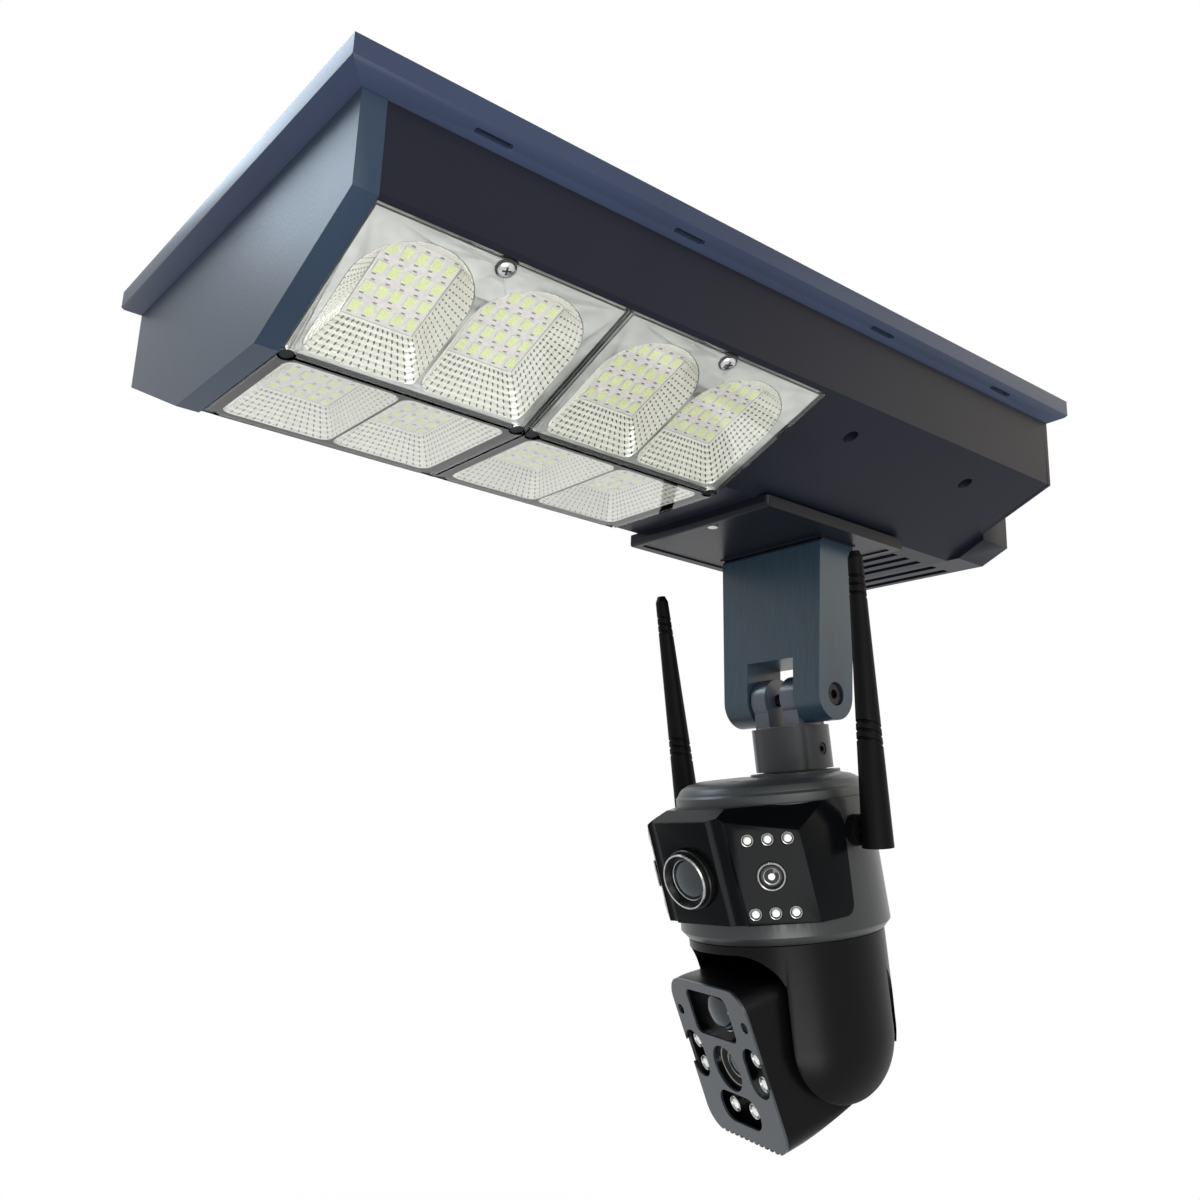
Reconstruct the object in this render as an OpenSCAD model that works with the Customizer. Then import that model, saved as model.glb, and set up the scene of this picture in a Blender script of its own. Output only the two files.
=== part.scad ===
// Solar street lamp with a hanging pan-and-tilt camera.
// Lamp frame: X runs from the lamp end (0) to the rear, Y across, Z up from
// the underside of the panel tray. The whole lamp is then set so that the
// origin is the centre of the pole socket's mouth.

/* [Housing] */
// Length of the housing, end cap and rear plate included
body_l = 500; // [470:5:620]
// Width across the upright walls
body_w = 258.8; // [250:0.2:300]
// Height of the upright walls
wall_h = 42.2; // [36:0.2:50]
// Depth of the flat floor below the tray
floor_z = 77; // [74:0.5:90]
// Angle of the two sloping faces
slope = 24.2; // [22:0.1:26]
// Thickness of the moulded walls
wall = 3; // [2.5:0.1:4]
// Length of the cap on the lamp end
cap_l = 11.9; // [9:0.1:16]
// Thickness of the plate at the rear
rear_t = 4; // [3:0.5:6]

/* [Panel tray] */
// How far the tray's lip stands out past the walls
tray_out = 9.4; // [8:0.1:14]
// Height of the lip above the housing
tray_h = 15.3; // [14:0.1:22]
// Height at which the upright lip starts
lip_z = 5.5; // [4.5:0.1:7]
// Thickness of the tray's sheet
tray_t = 2.5; // [2:0.1:3]
// Length of a drain slot in the gutter
slot_l = 19.5; // [12:0.5:30]
// Width of a drain slot
slot_w = 2.6; // [2:0.1:3]
// Thickness of the laminated panel, glass and cells together
panel_t = 4; // [3.5:0.1:5]
// How far the panel reaches past the walls
panel_out = 2; // [1:0.1:3]

/* [Lamp bay] */
// Where the first lens cover starts, from the lamp end
bay_x = 12.3; // [12:0.1:18]
// Length of one lens cover
cover_l = 135.6; // [132:0.2:145]
// Gap between two lens covers
cover_gap = 1.2; // [0.8:0.1:2]
// Depth of the covers' flat row below the tray
bay_z = 81.2; // [78:0.2:95]
// How far the covers stand proud of the sloping faces
cover_proud = 0.8; // [0.4:0.1:1.2]
// Thickness of a lens cover
cover_t = 3; // [2:0.1:3.4]
// Margin between a cover's end and its reflector mouth
mouth_edge = 7.1; // [5:0.1:9]
// Width of the web between the two mouths of a cover
web = 1.4; // [1:0.1:2.5]
// Depth of the light boards behind the covers' outer face
board_d = 15.5; // [14:0.1:17]
// Width of a light board
board_w = 37; // [34:0.5:40]
// Length of a light board on a sloping face
board_h = 47; // [44:0.5:50]
// Margin between a ridge and a light board of the flat row
board_edge = 20.9; // [19:0.1:22]
// Light chips along a board's width
chips_x = 5; // [3:1:5]
// Light chips along a board's length
chips_y = 4; // [2:1:4]
// Wall of a reflector cup
cup_t = 1.2; // [0.8:0.1:1.6]

/* [Service lid] */
// Where the lid starts, from the lamp end
lid_x = 311.5; // [300:0.5:330]
// Length of the lid
lid_l = 129; // [120:0.5:135]
// How far the lid stands below the floor
lid_t = 7; // [5:0.1:8]
// Width of the lid's rim
lid_rim = 6; // [4:0.5:9]

/* [Pole socket] */
// Radius of the pole bore
pole_r = 30.25; // [24.25:0.25:30.5]
// Depth of the pole's axis below the tray
pole_z = 38.5; // [37:0.1:45]
// How far the socket stands out past the rear plate
socket_l = 28; // [22:0.5:40]
// Length of the bore
socket_deep = 110; // [80:1:120]
// How far the socket's sides stand in from the housing's walls
socket_in = 48.9; // [45:0.1:60]
// Distance between two cooling grooves
groove_p = 11; // [8:0.5:16]
// Depth of a cooling groove
groove_d = 2.6; // [1.5:0.1:3]

/* [Camera bracket] */
// Distance from the lamp end to the pivot bolt
pivot_x = 396.6; // [380:0.2:405]
// Depth of the pivot bolt below the tray
pivot_z = 181; // [165:1:210]
// Radius of the bracket's rounded foot
foot_r = 16; // [15:0.2:18]
// Width of the bracket at its root
bracket_w = 84.4; // [80:0.2:92]
// Width of the bracket at the pivot
bracket_low_w = 79; // [74:0.2:84]
// Width of the gap between the ears
ear_gap = 38.4; // [36:0.2:42]
// Diameter of the pivot bolt
bolt_d = 8; // [6:0.5:10]
// Angle at which the camera hangs, tail swung to the rear
lean = 9.5; // [0:0.5:15]

/* [Camera neck] */
// Radius of the collar
collar_r = 24.2; // [22:0.1:28]
// Distance from the pivot down to the collar's top
collar_top = 17.5; // [16:0.1:24]
// Length of the collar
collar_l = 27; // [20:0.5:34]
// Radius of the neck post inside the collar
post_r = 19.95; // [15:0.05:20]
// How far the camera's axis lies in front of the neck
neck_set = 26; // [18:0.5:27]

/* [Camera body] */
// Radius of the cap
cap_r = 58; // [55:0.5:62]
// Radius of the upper body at its lower rim
body_r = 62.8; // [60:0.2:68]
// Height of the upper body
upper_h = 78; // [74:0.5:90]
// Distance from the pivot down to the camera's cap
cap_top = 47; // [46:0.5:60]
// Thickness of the cap
cap_t = 14; // [9:0.5:16]
// Radius of the panning body
pan_r = 58.5; // [56:0.5:60]
// Turn of the lens head at rest, away from straight ahead
head_pan = 14; // [0:1:20]
// Tilt of the lens head at rest, nose down
head_tilt = 14; // [0:1:18]

/* [Lens head] */
// Width of the lens head
head_w = 81.6; // [78:0.2:88]
// Height of the lens head's face
head_h = 94.6; // [88:0.2:98]
// Distance from the tilt axis to the face
head_f = 53; // [50:0.5:56]
// Radius of the trunnions
trunnion_r = 9; // [6:0.5:12]

/* [Antennas] */
// Length of an antenna above its hinge
antenna_l = 160; // [120:1:175]
// Diameter of an antenna at its foot
antenna_d = 18; // [14:0.2:20]
// Outward lean of the near antenna
near_lean = 3.3; // [0:0.1:6]
// Outward lean of the far antenna
far_lean = 1.8; // [0:0.1:6]

/* [Hidden] */

$fn = 64;
// running clearance of a turning fit
run = 0.05;
// clearance between pieces that slide past each other
slip = 0.2;
// overshoot of a cut past the face it opens
over = 1;
half_w = body_w / 2;
lamp_l = body_l + socket_l;
bay_x1 = bay_x + 2 * cover_l + cover_gap;

// Half width of a flat at depth z where the slope starts at depth h
function flat_hw(h, z) = half_w - (z - h) / tan(slope);
floor_hw = flat_hw(wall_h, floor_z);
bay_h = wall_h + cover_proud;
ridge_hw = flat_hw(bay_h, bay_z);
slope_l = (half_w - ridge_hw) / cos(slope);

// Section of the housing, pulled in by d: upright wall, slope, flat
function section_half(h, z, d, hw) = [
    [hw, 0],
    [hw, -h + d / cos(slope) - tan(slope) * (half_w - hw)],
    [half_w - (z - d - h + d / cos(slope)) / tan(slope), d - z]];
function flip(pts) = [for (i = [len(pts) - 1:-1:0]) [-pts[i][0], pts[i][1]]];
function section(h, z, d, hw) =
    concat(section_half(h, z, d, hw), flip(section_half(h, z, d, hw)));

module in_lamp() {
    translate([-lamp_l, 0, pole_z]) children();
}
// A section in Y and Z, drawn out from x0 over length l
module along_x(x0, l) {
    translate([x0, 0, 0]) rotate([90, 0, 90]) linear_extrude(l) children();
}
// A section in X and Z, drawn out over width w about the middle
module along_y(w) {
    translate([0, w / 2, 0]) rotate([90, 0, 0]) linear_extrude(w) children();
}
// A rectangle with round corners, its centre at the origin
module rounded(w, h, r) {
    square([w - 2 * r, h], center = true);
    square([w, h - 2 * r], center = true);
    for (x = [-1, 1], y = [-1, 1])
        translate([x * (w / 2 - r), y * (h / 2 - r)]) circle(r);
}
module bar(x0, x1, y0, y1, z0, z1) {
    translate([x0, y0, z0]) cube([x1 - x0, y1 - y0, z1 - z0]);
}

// ---- panel tray, glass and cells ----
lip_in = 1.5;
lip_low = lip_z - 1.6;
gutter_in = panel_out + 0.4;
shelf_z = tray_h - 0.5 - panel_t;
shelf_w = 3.4;
slot_at = [0.135, 0.357, 0.643, 0.865];
slot_y = half_w + (gutter_in + tray_out - tray_t) / 2;

// Section of the tray: half size hs, pulled in by d above the sheet
function tray_section(hs, d, top) = [
    [-hs, d], [hs, d],
    [hs + tray_out - lip_in - d, lip_low + d / 2], [hs + tray_out - d, lip_z + d / 2],
    [hs + tray_out - d, top], [-hs - tray_out + d, top],
    [-hs - tray_out + d, lip_z + d / 2], [-hs - tray_out + lip_in + d, lip_low + d / 2]];
module tray_block(d, top) {
    intersection() {
        along_x(-2 * tray_out, body_l + 4 * tray_out) polygon(tray_section(half_w, d, top));
        translate([body_l / 2, 0, 0]) along_y(body_w + 4 * tray_out)
            polygon(tray_section(body_l / 2, d, top));
    }
}
module shelf() {
    l = body_l + 2 * panel_out;
    w = body_w + 2 * panel_out;
    translate([body_l / 2, 0, tray_t - 0.5]) linear_extrude(shelf_z - tray_t + 0.5)
        difference() {
            square([l, w], center = true);
            square([l - 2 * shelf_w, w - 2 * shelf_w], center = true);
        }
    for (i = [1:3])
        translate([body_l * i / 4 - shelf_w / 2, -w / 2 + shelf_w / 2, tray_t - 0.5])
            cube([shelf_w, w - shelf_w, shelf_z - tray_t + 0.5]);
}
module panel_tray() color([0.13, 0.16, 0.22]) in_lamp() {
    difference() {
        tray_block(0, tray_h);
        tray_block(tray_t, tray_h + over);
        for (side = [-1, 1], f = slot_at)
            translate([-tray_out + (body_l + 2 * tray_out) * f, side * slot_y, 0])
                linear_extrude(lip_z + tray_t) rounded(slot_l, slot_w, slot_w / 2.1);
    }
    shelf();
}
glass_t = panel_t - 1.2;
module solar_cells() color([0.03, 0.05, 0.12]) in_lamp() {
    l = body_l + 2 * panel_out;
    w = body_w + 2 * panel_out;
    cols = 9;
    rows = 4;
    edge = 12;
    cell_gap = 2;
    cw = (l - 2 * edge) / cols;
    ch = (w - 2 * edge) / rows;
    translate([-panel_out, -w / 2, shelf_z]) {
        cube([l, w, 0.8]);
        for (i = [0:cols - 1], j = [0:rows - 1])
            translate([edge + i * cw + cell_gap / 2, edge + j * ch + cell_gap / 2, 0.8])
                cube([cw - cell_gap, ch - cell_gap, 0.4]);
    }
}
module panel_glass() color([0.6, 0.7, 0.8, 0.4]) in_lamp()
    translate([body_l / 2, 0, shelf_z + 1.2])
        linear_extrude(glass_t) square([body_l + 2 * panel_out, body_w + 2 * panel_out], center = true);

// ---- housing, front cap and rear plate ----
cap_wall_h = bay_h + 1.2;
tube_r = pole_r + 3.25;
pad_z = pole_z + tube_r;
groove_hw = 37.5;
groove_w = groove_p * 0.55;
groove_x0 = lid_x + lid_l + 4;
lid_open_l = lid_l - 21;
lid_open_w = 2 * floor_hw - 20;
screw_x = [lid_x + 15.5, body_l - 63];
screw_y = half_w - 20.5;
rear_x = body_l - rear_t;

module housing_section(d) polygon(section(wall_h, floor_z, d, half_w - d));
// Depth of the sloping face at half width y
function slope_z(y) = wall_h + (half_w - y) * tan(slope);
module grooves(x0, x1, deep) {
    n = floor((x1 - x0) / groove_p);
    for (i = [0:n - 1])
        translate([x0 + (i + 0.5) * (x1 - x0) / n, 0, -floor_z])
            cube([groove_w, 2 * groove_hw, 2 * deep], center = true);
}
module housing() color([0.10, 0.13, 0.20]) in_lamp() {
    difference() {
        union() {
            difference() {
                along_x(cap_l, rear_x - cap_l) housing_section(0);
                along_x(cap_l - over, rear_x - cap_l + 2 * over)
                    polygon(concat([[-half_w + wall, over], [half_w - wall, over]],
                        section(wall_h, floor_z, wall, half_w - wall)));
            }
            // pad over the cooling grooves
            bar(groove_x0 - 4, rear_x, -floor_hw + 4, floor_hw - 4, -floor_z + wall / 2, -pad_z);
            // tubes that the case screws pass through
            intersection() {
                along_x(cap_l, rear_x - cap_l) housing_section(0);
                for (x = screw_x, s = [-1, 1])
                    translate([x, s * screw_y, -floor_z]) cylinder(r = 6, h = floor_z);
            }
        }
        // the lamp bay takes the whole floor between the walls
        bar(bay_x - slip, bay_x1 + slip, -half_w + wall, half_w - wall, -floor_z - over, -frame_top - 4);
        // opening under the service lid
        translate([lid_x + lid_l / 2, 0, -floor_z])
            linear_extrude(4 * wall, center = true) rounded(lid_open_l, lid_open_w, 5);
        grooves(groove_x0, rear_x, groove_d);
        at_lid_screws() cylinder(r = 1.7, h = 30, center = true);
        // recess and clearance hole of each case screw
        for (x = screw_x, s = [-1, 1]) translate([x, s * screw_y, -floor_z]) {
            cylinder(r = 4.2, h = floor_z - slope_z(screw_y) + 9);
            cylinder(r = 2.2, h = floor_z + over);
        }
    }
}
module case_screws() color([0.5, 0.5, 0.52]) in_lamp()
    for (x = screw_x, s = [-1, 1]) translate([x, s * screw_y, 0]) {
        translate([0, 0, -slope_z(screw_y) + 6]) cylinder(r = 4, h = 3);
        translate([0, 0, -slope_z(screw_y) + 9]) cylinder(r = 2, h = slope_z(screw_y) - 9);
    }
module front_cap() color([0.16, 0.20, 0.29]) in_lamp() {
    outer = section(cap_wall_h, bay_z, 0, half_w + 0.5);
    difference() {
        along_x(0, cap_l) polygon(outer);
        along_x(wall, cap_l) polygon(section(cap_wall_h, bay_z, wall, half_w - wall));
    }
    // spigot that seats inside the housing
    difference() {
        along_x(wall, cap_l - wall + 7) polygon(section(wall_h, floor_z, wall + slip, half_w - wall - slip));
        along_x(wall - over, cap_l + 7) polygon(section(wall_h, floor_z, 2 * wall, half_w - 2 * wall));
        bar(cap_l, cap_l + 8, -half_w, half_w, -bay_z, -frame_top + 1);
    }
}
rear_pts = [for (s = [-1, 1], p = [[17.4, 12], [17.4, 40], [37.4, 50]]) [s * (half_w - p[0]), p[1]]];
button_y = half_w - 29.4;
button_z = 24;
button_r = 6.5;
barrel_r = 8;
module rear_plate() color([0.10, 0.13, 0.20]) in_lamp() {
    difference() {
        union() {
            along_x(rear_x, rear_t) housing_section(0);
            // bosses that the rear screws bite into stand inside the corners
            for (p = rear_pts) translate([rear_x - 8, p[0], -p[1]])
                rotate([0, 90, 0]) cylinder(r = 4.5, h = 8 + rear_t / 2);
        }
        translate([rear_x - over, 0, -pole_z]) rotate([0, 90, 0])
            cylinder(r = tube_r, h = rear_t + 2 * over);
        translate([rear_x - over, button_y, -button_z]) rotate([0, 90, 0])
            cylinder(r = barrel_r, h = rear_t + 2 * over);
        for (p = rear_pts) translate([rear_x - 9, p[0], -p[1]])
            rotate([0, 90, 0]) cylinder(r = 1.8, h = rear_t + 10);
    }
}
module rear_screws() color([0.45, 0.45, 0.47]) in_lamp()
    for (p = rear_pts) translate([body_l, p[0], -p[1]]) rotate([0, 90, 0]) {
        cylinder(r = 3.6, h = 2.4);
        translate([0, 0, -rear_t - 6]) cylinder(r = 1.8, h = rear_t + 6);
    }

// ---- pole socket, clamp bolts, power button ----
stop_t = 3;
socket_side_z = floor_z - 9.1;
socket_hw = half_w - socket_in;
socket_floor_hw = socket_hw - 19.2;
socket_wall = 4;
clamp_x = body_l + socket_l / 2;
function socket_section(d) = [
    [-socket_hw + d, -2 - d], [-socket_hw + d, -socket_side_z + d / 2],
    [-socket_floor_hw + d / 2, -floor_z + d], [socket_floor_hw - d / 2, -floor_z + d],
    [socket_hw - d, -socket_side_z + d / 2], [socket_hw - d, -2 - d]];
module pole_socket() color([0.11, 0.13, 0.18]) in_lamp() {
    difference() {
        union() {
            difference() {
                along_x(body_l, socket_l) polygon(socket_section(0));
                along_x(body_l - over, socket_l - socket_wall + over) polygon(socket_section(socket_wall));
            }
            // blocks that carry the clamp bolts
            bar(clamp_x - 9, body_l + socket_l - socket_wall / 2, -socket_hw + 2, socket_hw - 2,
                -pole_z - 9, -pole_z + 9);
            translate([lamp_l - socket_deep - stop_t, 0, -pole_z]) rotate([0, 90, 0])
                cylinder(r = tube_r, h = socket_deep + stop_t);
        }
        translate([lamp_l - socket_deep, 0, -pole_z]) rotate([0, 90, 0])
            cylinder(r = pole_r, h = socket_deep + over);
        for (s = [-1, 1]) translate([clamp_x, s * (socket_hw + over), -pole_z])
            rotate([s * 90, 0, 0]) cylinder(r = 4, h = socket_hw + over);
        grooves(body_l + 1, lamp_l - 1, groove_d);
    }
}
module pole_clamp_bolts() color([0.62, 0.63, 0.65]) in_lamp()
    for (s = [-1, 1]) translate([clamp_x, s * socket_hw, -pole_z]) rotate([s * 90, 0, 0]) {
        cylinder(r = 4, h = socket_hw - pole_r - 2);
        translate([0, 0, -1.6]) cylinder(r = 8, h = 1.6);
        translate([0, 0, -6.9]) cylinder(r = 7.5, h = 5.3, $fn = 6);
    }
module button_bezel() color([0.7, 0.71, 0.72]) in_lamp()
    translate([0, button_y, -button_z]) rotate([0, 90, 0]) difference() {
        union() {
            translate([0, 0, body_l]) cylinder(r = 11, h = 3);
            translate([0, 0, rear_x - 10]) cylinder(r = barrel_r, h = rear_t + 10);
            translate([0, 0, rear_x - 4]) cylinder(r = 11.5, h = 4, $fn = 6);
        }
        translate([0, 0, body_l - 8]) cylinder(r = button_r + run, h = 20);
    }
module power_button() color([0.08, 0.08, 0.09]) in_lamp()
    translate([body_l - 4, button_y, -button_z]) rotate([0, 90, 0]) cylinder(r = button_r, h = 9.5);

// ---- lamp bay: frame, boards, reflectors, covers ----
// face frames: x along the lamp, y across the face, z outwards, z = 0 on the covers
module near_face() translate([0, -ridge_hw, -bay_z]) rotate([180 - slope, 0, 0]) children();
module far_face() mirror([0, 1, 0]) near_face() children();
module floor_face() translate([0, ridge_hw, -bay_z]) rotate([180, 0, 0]) children();

cover_x = [bay_x, bay_x + cover_l + cover_gap];
mitre = cover_t * tan(slope / 2) + 0.15;
slope_top = slope_l - 3.8;
flat_w = 2 * ridge_hw;
flange_t = 1.5;
seat_d = cover_t + flange_t;
board_t = 1.6;
frame_d = board_d + board_t;
frame_t = 2.5;
frame_top = 21;
mouth_low = 4.9;
mouth_top = slope_top - 8.1;
mouth_w = (cover_l - web) / 2 - mouth_edge;
mouth_c = (mouth_w + web) / 2;
corner_r = 6;
board_c = (mouth_low + mouth_top) / 2 + 3.6;
board_shift = 2.2;
cup_room = 1.5;
cup_open_w = board_w + cup_room;
function board_len(arched) = arched ? board_h : flat_w - 2 * board_edge;
screw_v = slope_top - 5.5;
notch_r = 4.3;

// Outline of a reflector mouth: round at the outer end on a sloping face
module mouth(grow, arched) {
    w = mouth_w + 2 * grow;
    low = mouth_low - grow;
    top = (arched ? mouth_top : flat_w - mouth_low) + grow;
    r = corner_r + grow;
    for (s = [-1, 1]) translate([s * (w / 2 - r), low + r]) circle(r, $fn = 24);
    if (arched)
        translate([0, top - w / 2]) circle(w / 2, $fn = 48);
    else
        for (s = [-1, 1]) translate([s * (w / 2 - r), top - r]) circle(r, $fn = 24);
}
module cup(grow, arched, side) {
    c = arched ? board_c : flat_w / 2;
    hull() {
        translate([0, 0, -cover_t - 0.1]) linear_extrude(0.1) hull() mouth(grow, arched);
        translate([-side * board_shift, c, -frame_d]) linear_extrude(0.1)
            square([cup_open_w + 2 * grow, board_len(arched) + cup_room + 2 * grow], center = true);
    }
}
// One reflector with its two cups, for the cover that starts at x0
module reflector(x0, arched) {
    top = arched ? slope_top - 2 : flat_w - mitre - 2;
    cx = x0 + cover_l / 2;
    difference() {
        union() {
            translate([x0 + 2, mitre + 2, -seat_d]) cube([cover_l - 4, top - mitre - 2, flange_t]);
            for (s = [-1, 1]) translate([cx + s * mouth_c, 0, 0]) cup(cup_t, arched, s);
        }
        for (s = [-1, 1]) translate([cx + s * mouth_c, 0, 0]) {
            cup(0, arched, s);
            translate([0, 0, -cover_t]) linear_extrude(over) hull() mouth(0, arched);
            translate([-s * board_shift, arched ? board_c : flat_w / 2, -frame_d - 0.05])
                linear_extrude(0.3) square([cup_open_w, board_len(arched) + cup_room], center = true);
        }
        if (arched) translate([cx, screw_v, -seat_d - over]) cylinder(r = 2.3, h = flange_t + 2 * over);
        ridge_notches(x0, -seat_d - over, -cover_t + over, arched);
    }
}
// Round notches at the corners, on the ridge lines
module ridge_notches(x0, z0, z1, arched) {
    for (x = [notch_r, cover_l - notch_r], y = arched ? [0] : [0, flat_w])
        translate([x0 + x, y, z0]) cylinder(r = notch_r, h = z1 - z0);
}
module board(arched, x0, side) {
    pitch_x = board_w / (chips_x + 0.07);
    len = board_len(arched);
    pitch_y = len / (chips_y + 0.05);
    chip = [4.4, pitch_y * 0.53, 0.7];
    translate([x0 + cover_l / 2 + side * (mouth_c - board_shift), arched ? board_c : flat_w / 2, -frame_d]) {
        translate([-board_w / 2, -len / 2, 0]) cube([board_w, len, board_t]);
        for (i = [0:chips_x - 1], j = [0:chips_y - 1])
            translate([(i - (chips_x - 1) / 2) * pitch_x, (j - (chips_y - 1) / 2) * pitch_y,
                board_t + chip[2] / 2 - 0.05]) cube(chip + [0, 0, 0.1], center = true);
    }
}
module boards(arched) {
    for (x0 = cover_x, s = [-1, 1]) board(arched, x0, s);
}
module reflectors(arched) {
    for (x0 = cover_x) reflector(x0, arched);
}
module cover(x0, arched) {
    top = arched ? slope_top : flat_w - mitre;
    difference() {
        translate([x0, mitre, -cover_t]) cube([cover_l, top - mitre, cover_t]);
        if (arched) translate([x0 + cover_l / 2, screw_v, 0]) {
            cylinder(r = 2.3, h = 4 * cover_t, center = true);
            translate([0, 0, -1.6]) cylinder(r = 4.4, h = 4);
        }
        ridge_notches(x0, -cover_t - over, over, arched);
    }
}
// A seal is a flat ring between the cover and the frame
module seal(x0, arched) {
    top = arched ? slope_top : flat_w - mitre;
    translate([0, 0, -seat_d]) linear_extrude(flange_t) difference() {
        translate([x0 + 0.3, mitre + 0.3]) square([cover_l - 0.6, top - mitre - 0.6]);
        translate([x0 + 1.8, mitre + 1.8]) square([cover_l - 3.6, top - mitre - 3.6]);
        for (x = [notch_r, cover_l - notch_r], y = arched ? [0] : [0, flat_w])
            translate([x0 + x, y]) circle(notch_r);
    }
}
// Stepped pocket that one reflector drops into
module pocket(x0, arched) {
    cx = x0 + cover_l / 2;
    step = 10;
    w1 = 2 * mouth_c + mouth_w + 2 * cup_t + 0.4;
    w2 = w1 - 11;
    top = (arched ? mouth_top : flat_w - mouth_low) + cup_t + 0.2;
    low = mouth_low - cup_t - 0.2;
    trim = arched ? 8 : 6;
    translate([cx - w1 / 2, low, -step]) cube([w1, top - low, step]);
    translate([cx - w2 / 2, low + trim, -frame_d]) cube([w2, top - low - trim - (arched ? 4.5 : trim), step]);
}
module led_frame() color([0.18, 0.19, 0.21]) in_lamp() difference() {
    along_x(bay_x, bay_x1 - bay_x) difference() {
        polygon(section(bay_h, bay_z, seat_d, half_w - wall));
        polygon(concat([[-half_w + wall + over, over], [half_w - wall - over, over]],
            section(bay_h, bay_z, frame_d + frame_t, half_w - wall - over)));
        translate([-half_w, -frame_top]) square([2 * half_w, 100]);
    }
    near_face() frame_cuts(true);
    far_face() frame_cuts(true);
    floor_face() frame_cuts(false);
    ridge_holes();
}
module frame_cuts(arched) {
    for (x0 = cover_x) {
        pocket(x0, arched);
        if (arched) translate([x0 + cover_l / 2, screw_v, -16]) cylinder(r = 1.5, h = 20);
    }
}
// Places on the two ridges, each looking out along the ridge's own normal
module at_ridges() {
    for (s = [-1, 1], x0 = cover_x, x = [notch_r, cover_l - notch_r])
        translate([x0 + x, s * ridge_hw, -bay_z]) rotate([180 + s * slope / 2, 0, 0]) rotate(45) children();
}
ridge_seat = seat_d / cos(slope / 2);
ridge_hole_r = 1.1;
module ridge_holes() at_ridges() translate([0, 0, -ridge_seat - 8]) cylinder(r = ridge_hole_r, h = 12);
module reflectors_near() color([0.85, 0.86, 0.88]) in_lamp() near_face() reflectors(true);
module reflectors_bottom() color([0.85, 0.86, 0.88]) in_lamp() floor_face() reflectors(false);
module reflectors_far() color([0.85, 0.86, 0.88]) in_lamp() far_face() reflectors(true);
module led_boards_near() color([0.9, 0.85, 0.85]) in_lamp() near_face() boards(true);
module led_boards_bottom() color([0.9, 0.85, 0.85]) in_lamp() floor_face() boards(false);
module led_boards_far() color([0.9, 0.85, 0.85]) in_lamp() far_face() boards(true);
module cover_near_a() color([0.9, 0.95, 1, 0.4]) in_lamp() near_face() cover(cover_x[0], true);
module cover_near_b() color([0.9, 0.95, 1, 0.4]) in_lamp() near_face() cover(cover_x[1], true);
module cover_bottom_a() color([0.9, 0.95, 1, 0.4]) in_lamp() floor_face() cover(cover_x[0], false);
module cover_bottom_b() color([0.9, 0.95, 1, 0.4]) in_lamp() floor_face() cover(cover_x[1], false);
module cover_far_a() color([0.9, 0.95, 1, 0.4]) in_lamp() far_face() cover(cover_x[0], true);
module cover_far_b() color([0.9, 0.95, 1, 0.4]) in_lamp() far_face() cover(cover_x[1], true);
module cover_seals() color([0.2, 0.2, 0.2]) in_lamp() for (x0 = cover_x) {
    near_face() seal(x0, true);
    far_face() seal(x0, true);
    floor_face() seal(x0, false);
}
module cover_screw() {
    translate([0, 0, -1.6]) cylinder(r = 4, h = 2.2);
    translate([0, 0, -14]) cylinder(r = 1.5, h = 14);
}
module cover_screws() color([0.75, 0.75, 0.76]) in_lamp() for (x0 = cover_x) {
    near_face() translate([x0 + cover_l / 2, screw_v, 0]) cover_screw();
    far_face() translate([x0 + cover_l / 2, screw_v, 0]) cover_screw();
}
module ridge_screws() color([0.1, 0.1, 0.1]) in_lamp() at_ridges() {
    translate([0, 0, -ridge_seat + 0.9]) cylinder(r = 3.4, h = 2.2);
    translate([0, 0, -ridge_seat - 7]) cylinder(r = ridge_hole_r, h = 8);
}

// ---- service lid, battery, controller ----
lid_hw = floor_hw + 8.6;
lid_z = floor_z + lid_t;
module lid_block() intersection() {
    translate([lid_x + lid_l / 2, 0, -lid_z]) linear_extrude(lid_t) rounded(lid_l, 2 * lid_hw, 3);
    translate([lid_x + lid_l / 2, 0, -lid_z + 10]) along_y(4 * lid_hw) rounded(lid_l, 20, 3.5);
}
// The two lid screws stand a little to the near side of the middle
lid_screw_y = -9;
module at_lid_screws() {
    for (x = [8, lid_l - 8]) translate([lid_x + x, lid_screw_y, -lid_z]) children();
}
bracket_pts = [[-5.5, -25], [5.5, -25], [-5.5, 25], [5.5, 25]];
module at_bracket_screws() {
    for (p = bracket_pts) translate([pivot_x + p[0], p[1], -lid_z]) children();
}
module service_lid() color([0.11, 0.12, 0.15]) in_lamp() {
    difference() {
        union() {
            lid_block();
            // rib that drops into the opening
            translate([lid_x + lid_l / 2, 0, -floor_z]) linear_extrude(wall + 1)
                rounded(lid_open_l - 2 * slip, lid_open_w - 2 * slip, 5);
        }
        // shallow field inside the rim
        translate([lid_x + lid_l / 2, 0, -lid_z - over])
            linear_extrude(over + 0.8) difference() {
                rounded(lid_l - 2 * lid_rim, 2 * (lid_hw - lid_rim), 2);
                translate([pivot_x - lid_x - lid_l / 2, 0])
                    square([2 * foot_r + 2, bracket_w + 2], center = true);
            }
        // hollow under the battery side
        translate([lid_x + 12 + lid_open_l / 4, 0, -lid_z + 3]) linear_extrude(lid_t + wall + 2)
            rounded(lid_open_l / 2 - 4, lid_open_w - 8, 3);
        at_lid_screws() {
            cylinder(r = 1.7, h = 30, center = true);
            translate([0, 0, -over]) cylinder(r = 3.2, h = 1.4 + over);
        }
        at_bracket_screws() cylinder(r = 2.5, h = 60, center = true);
    }
    // pillars for the controller board
    for (x = [0, 1], y = [-1, 1])
        translate([lid_x + 20 + x * 40, y * 31, -lid_z + 2.5]) cylinder(r = 3, h = 14);
}
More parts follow.
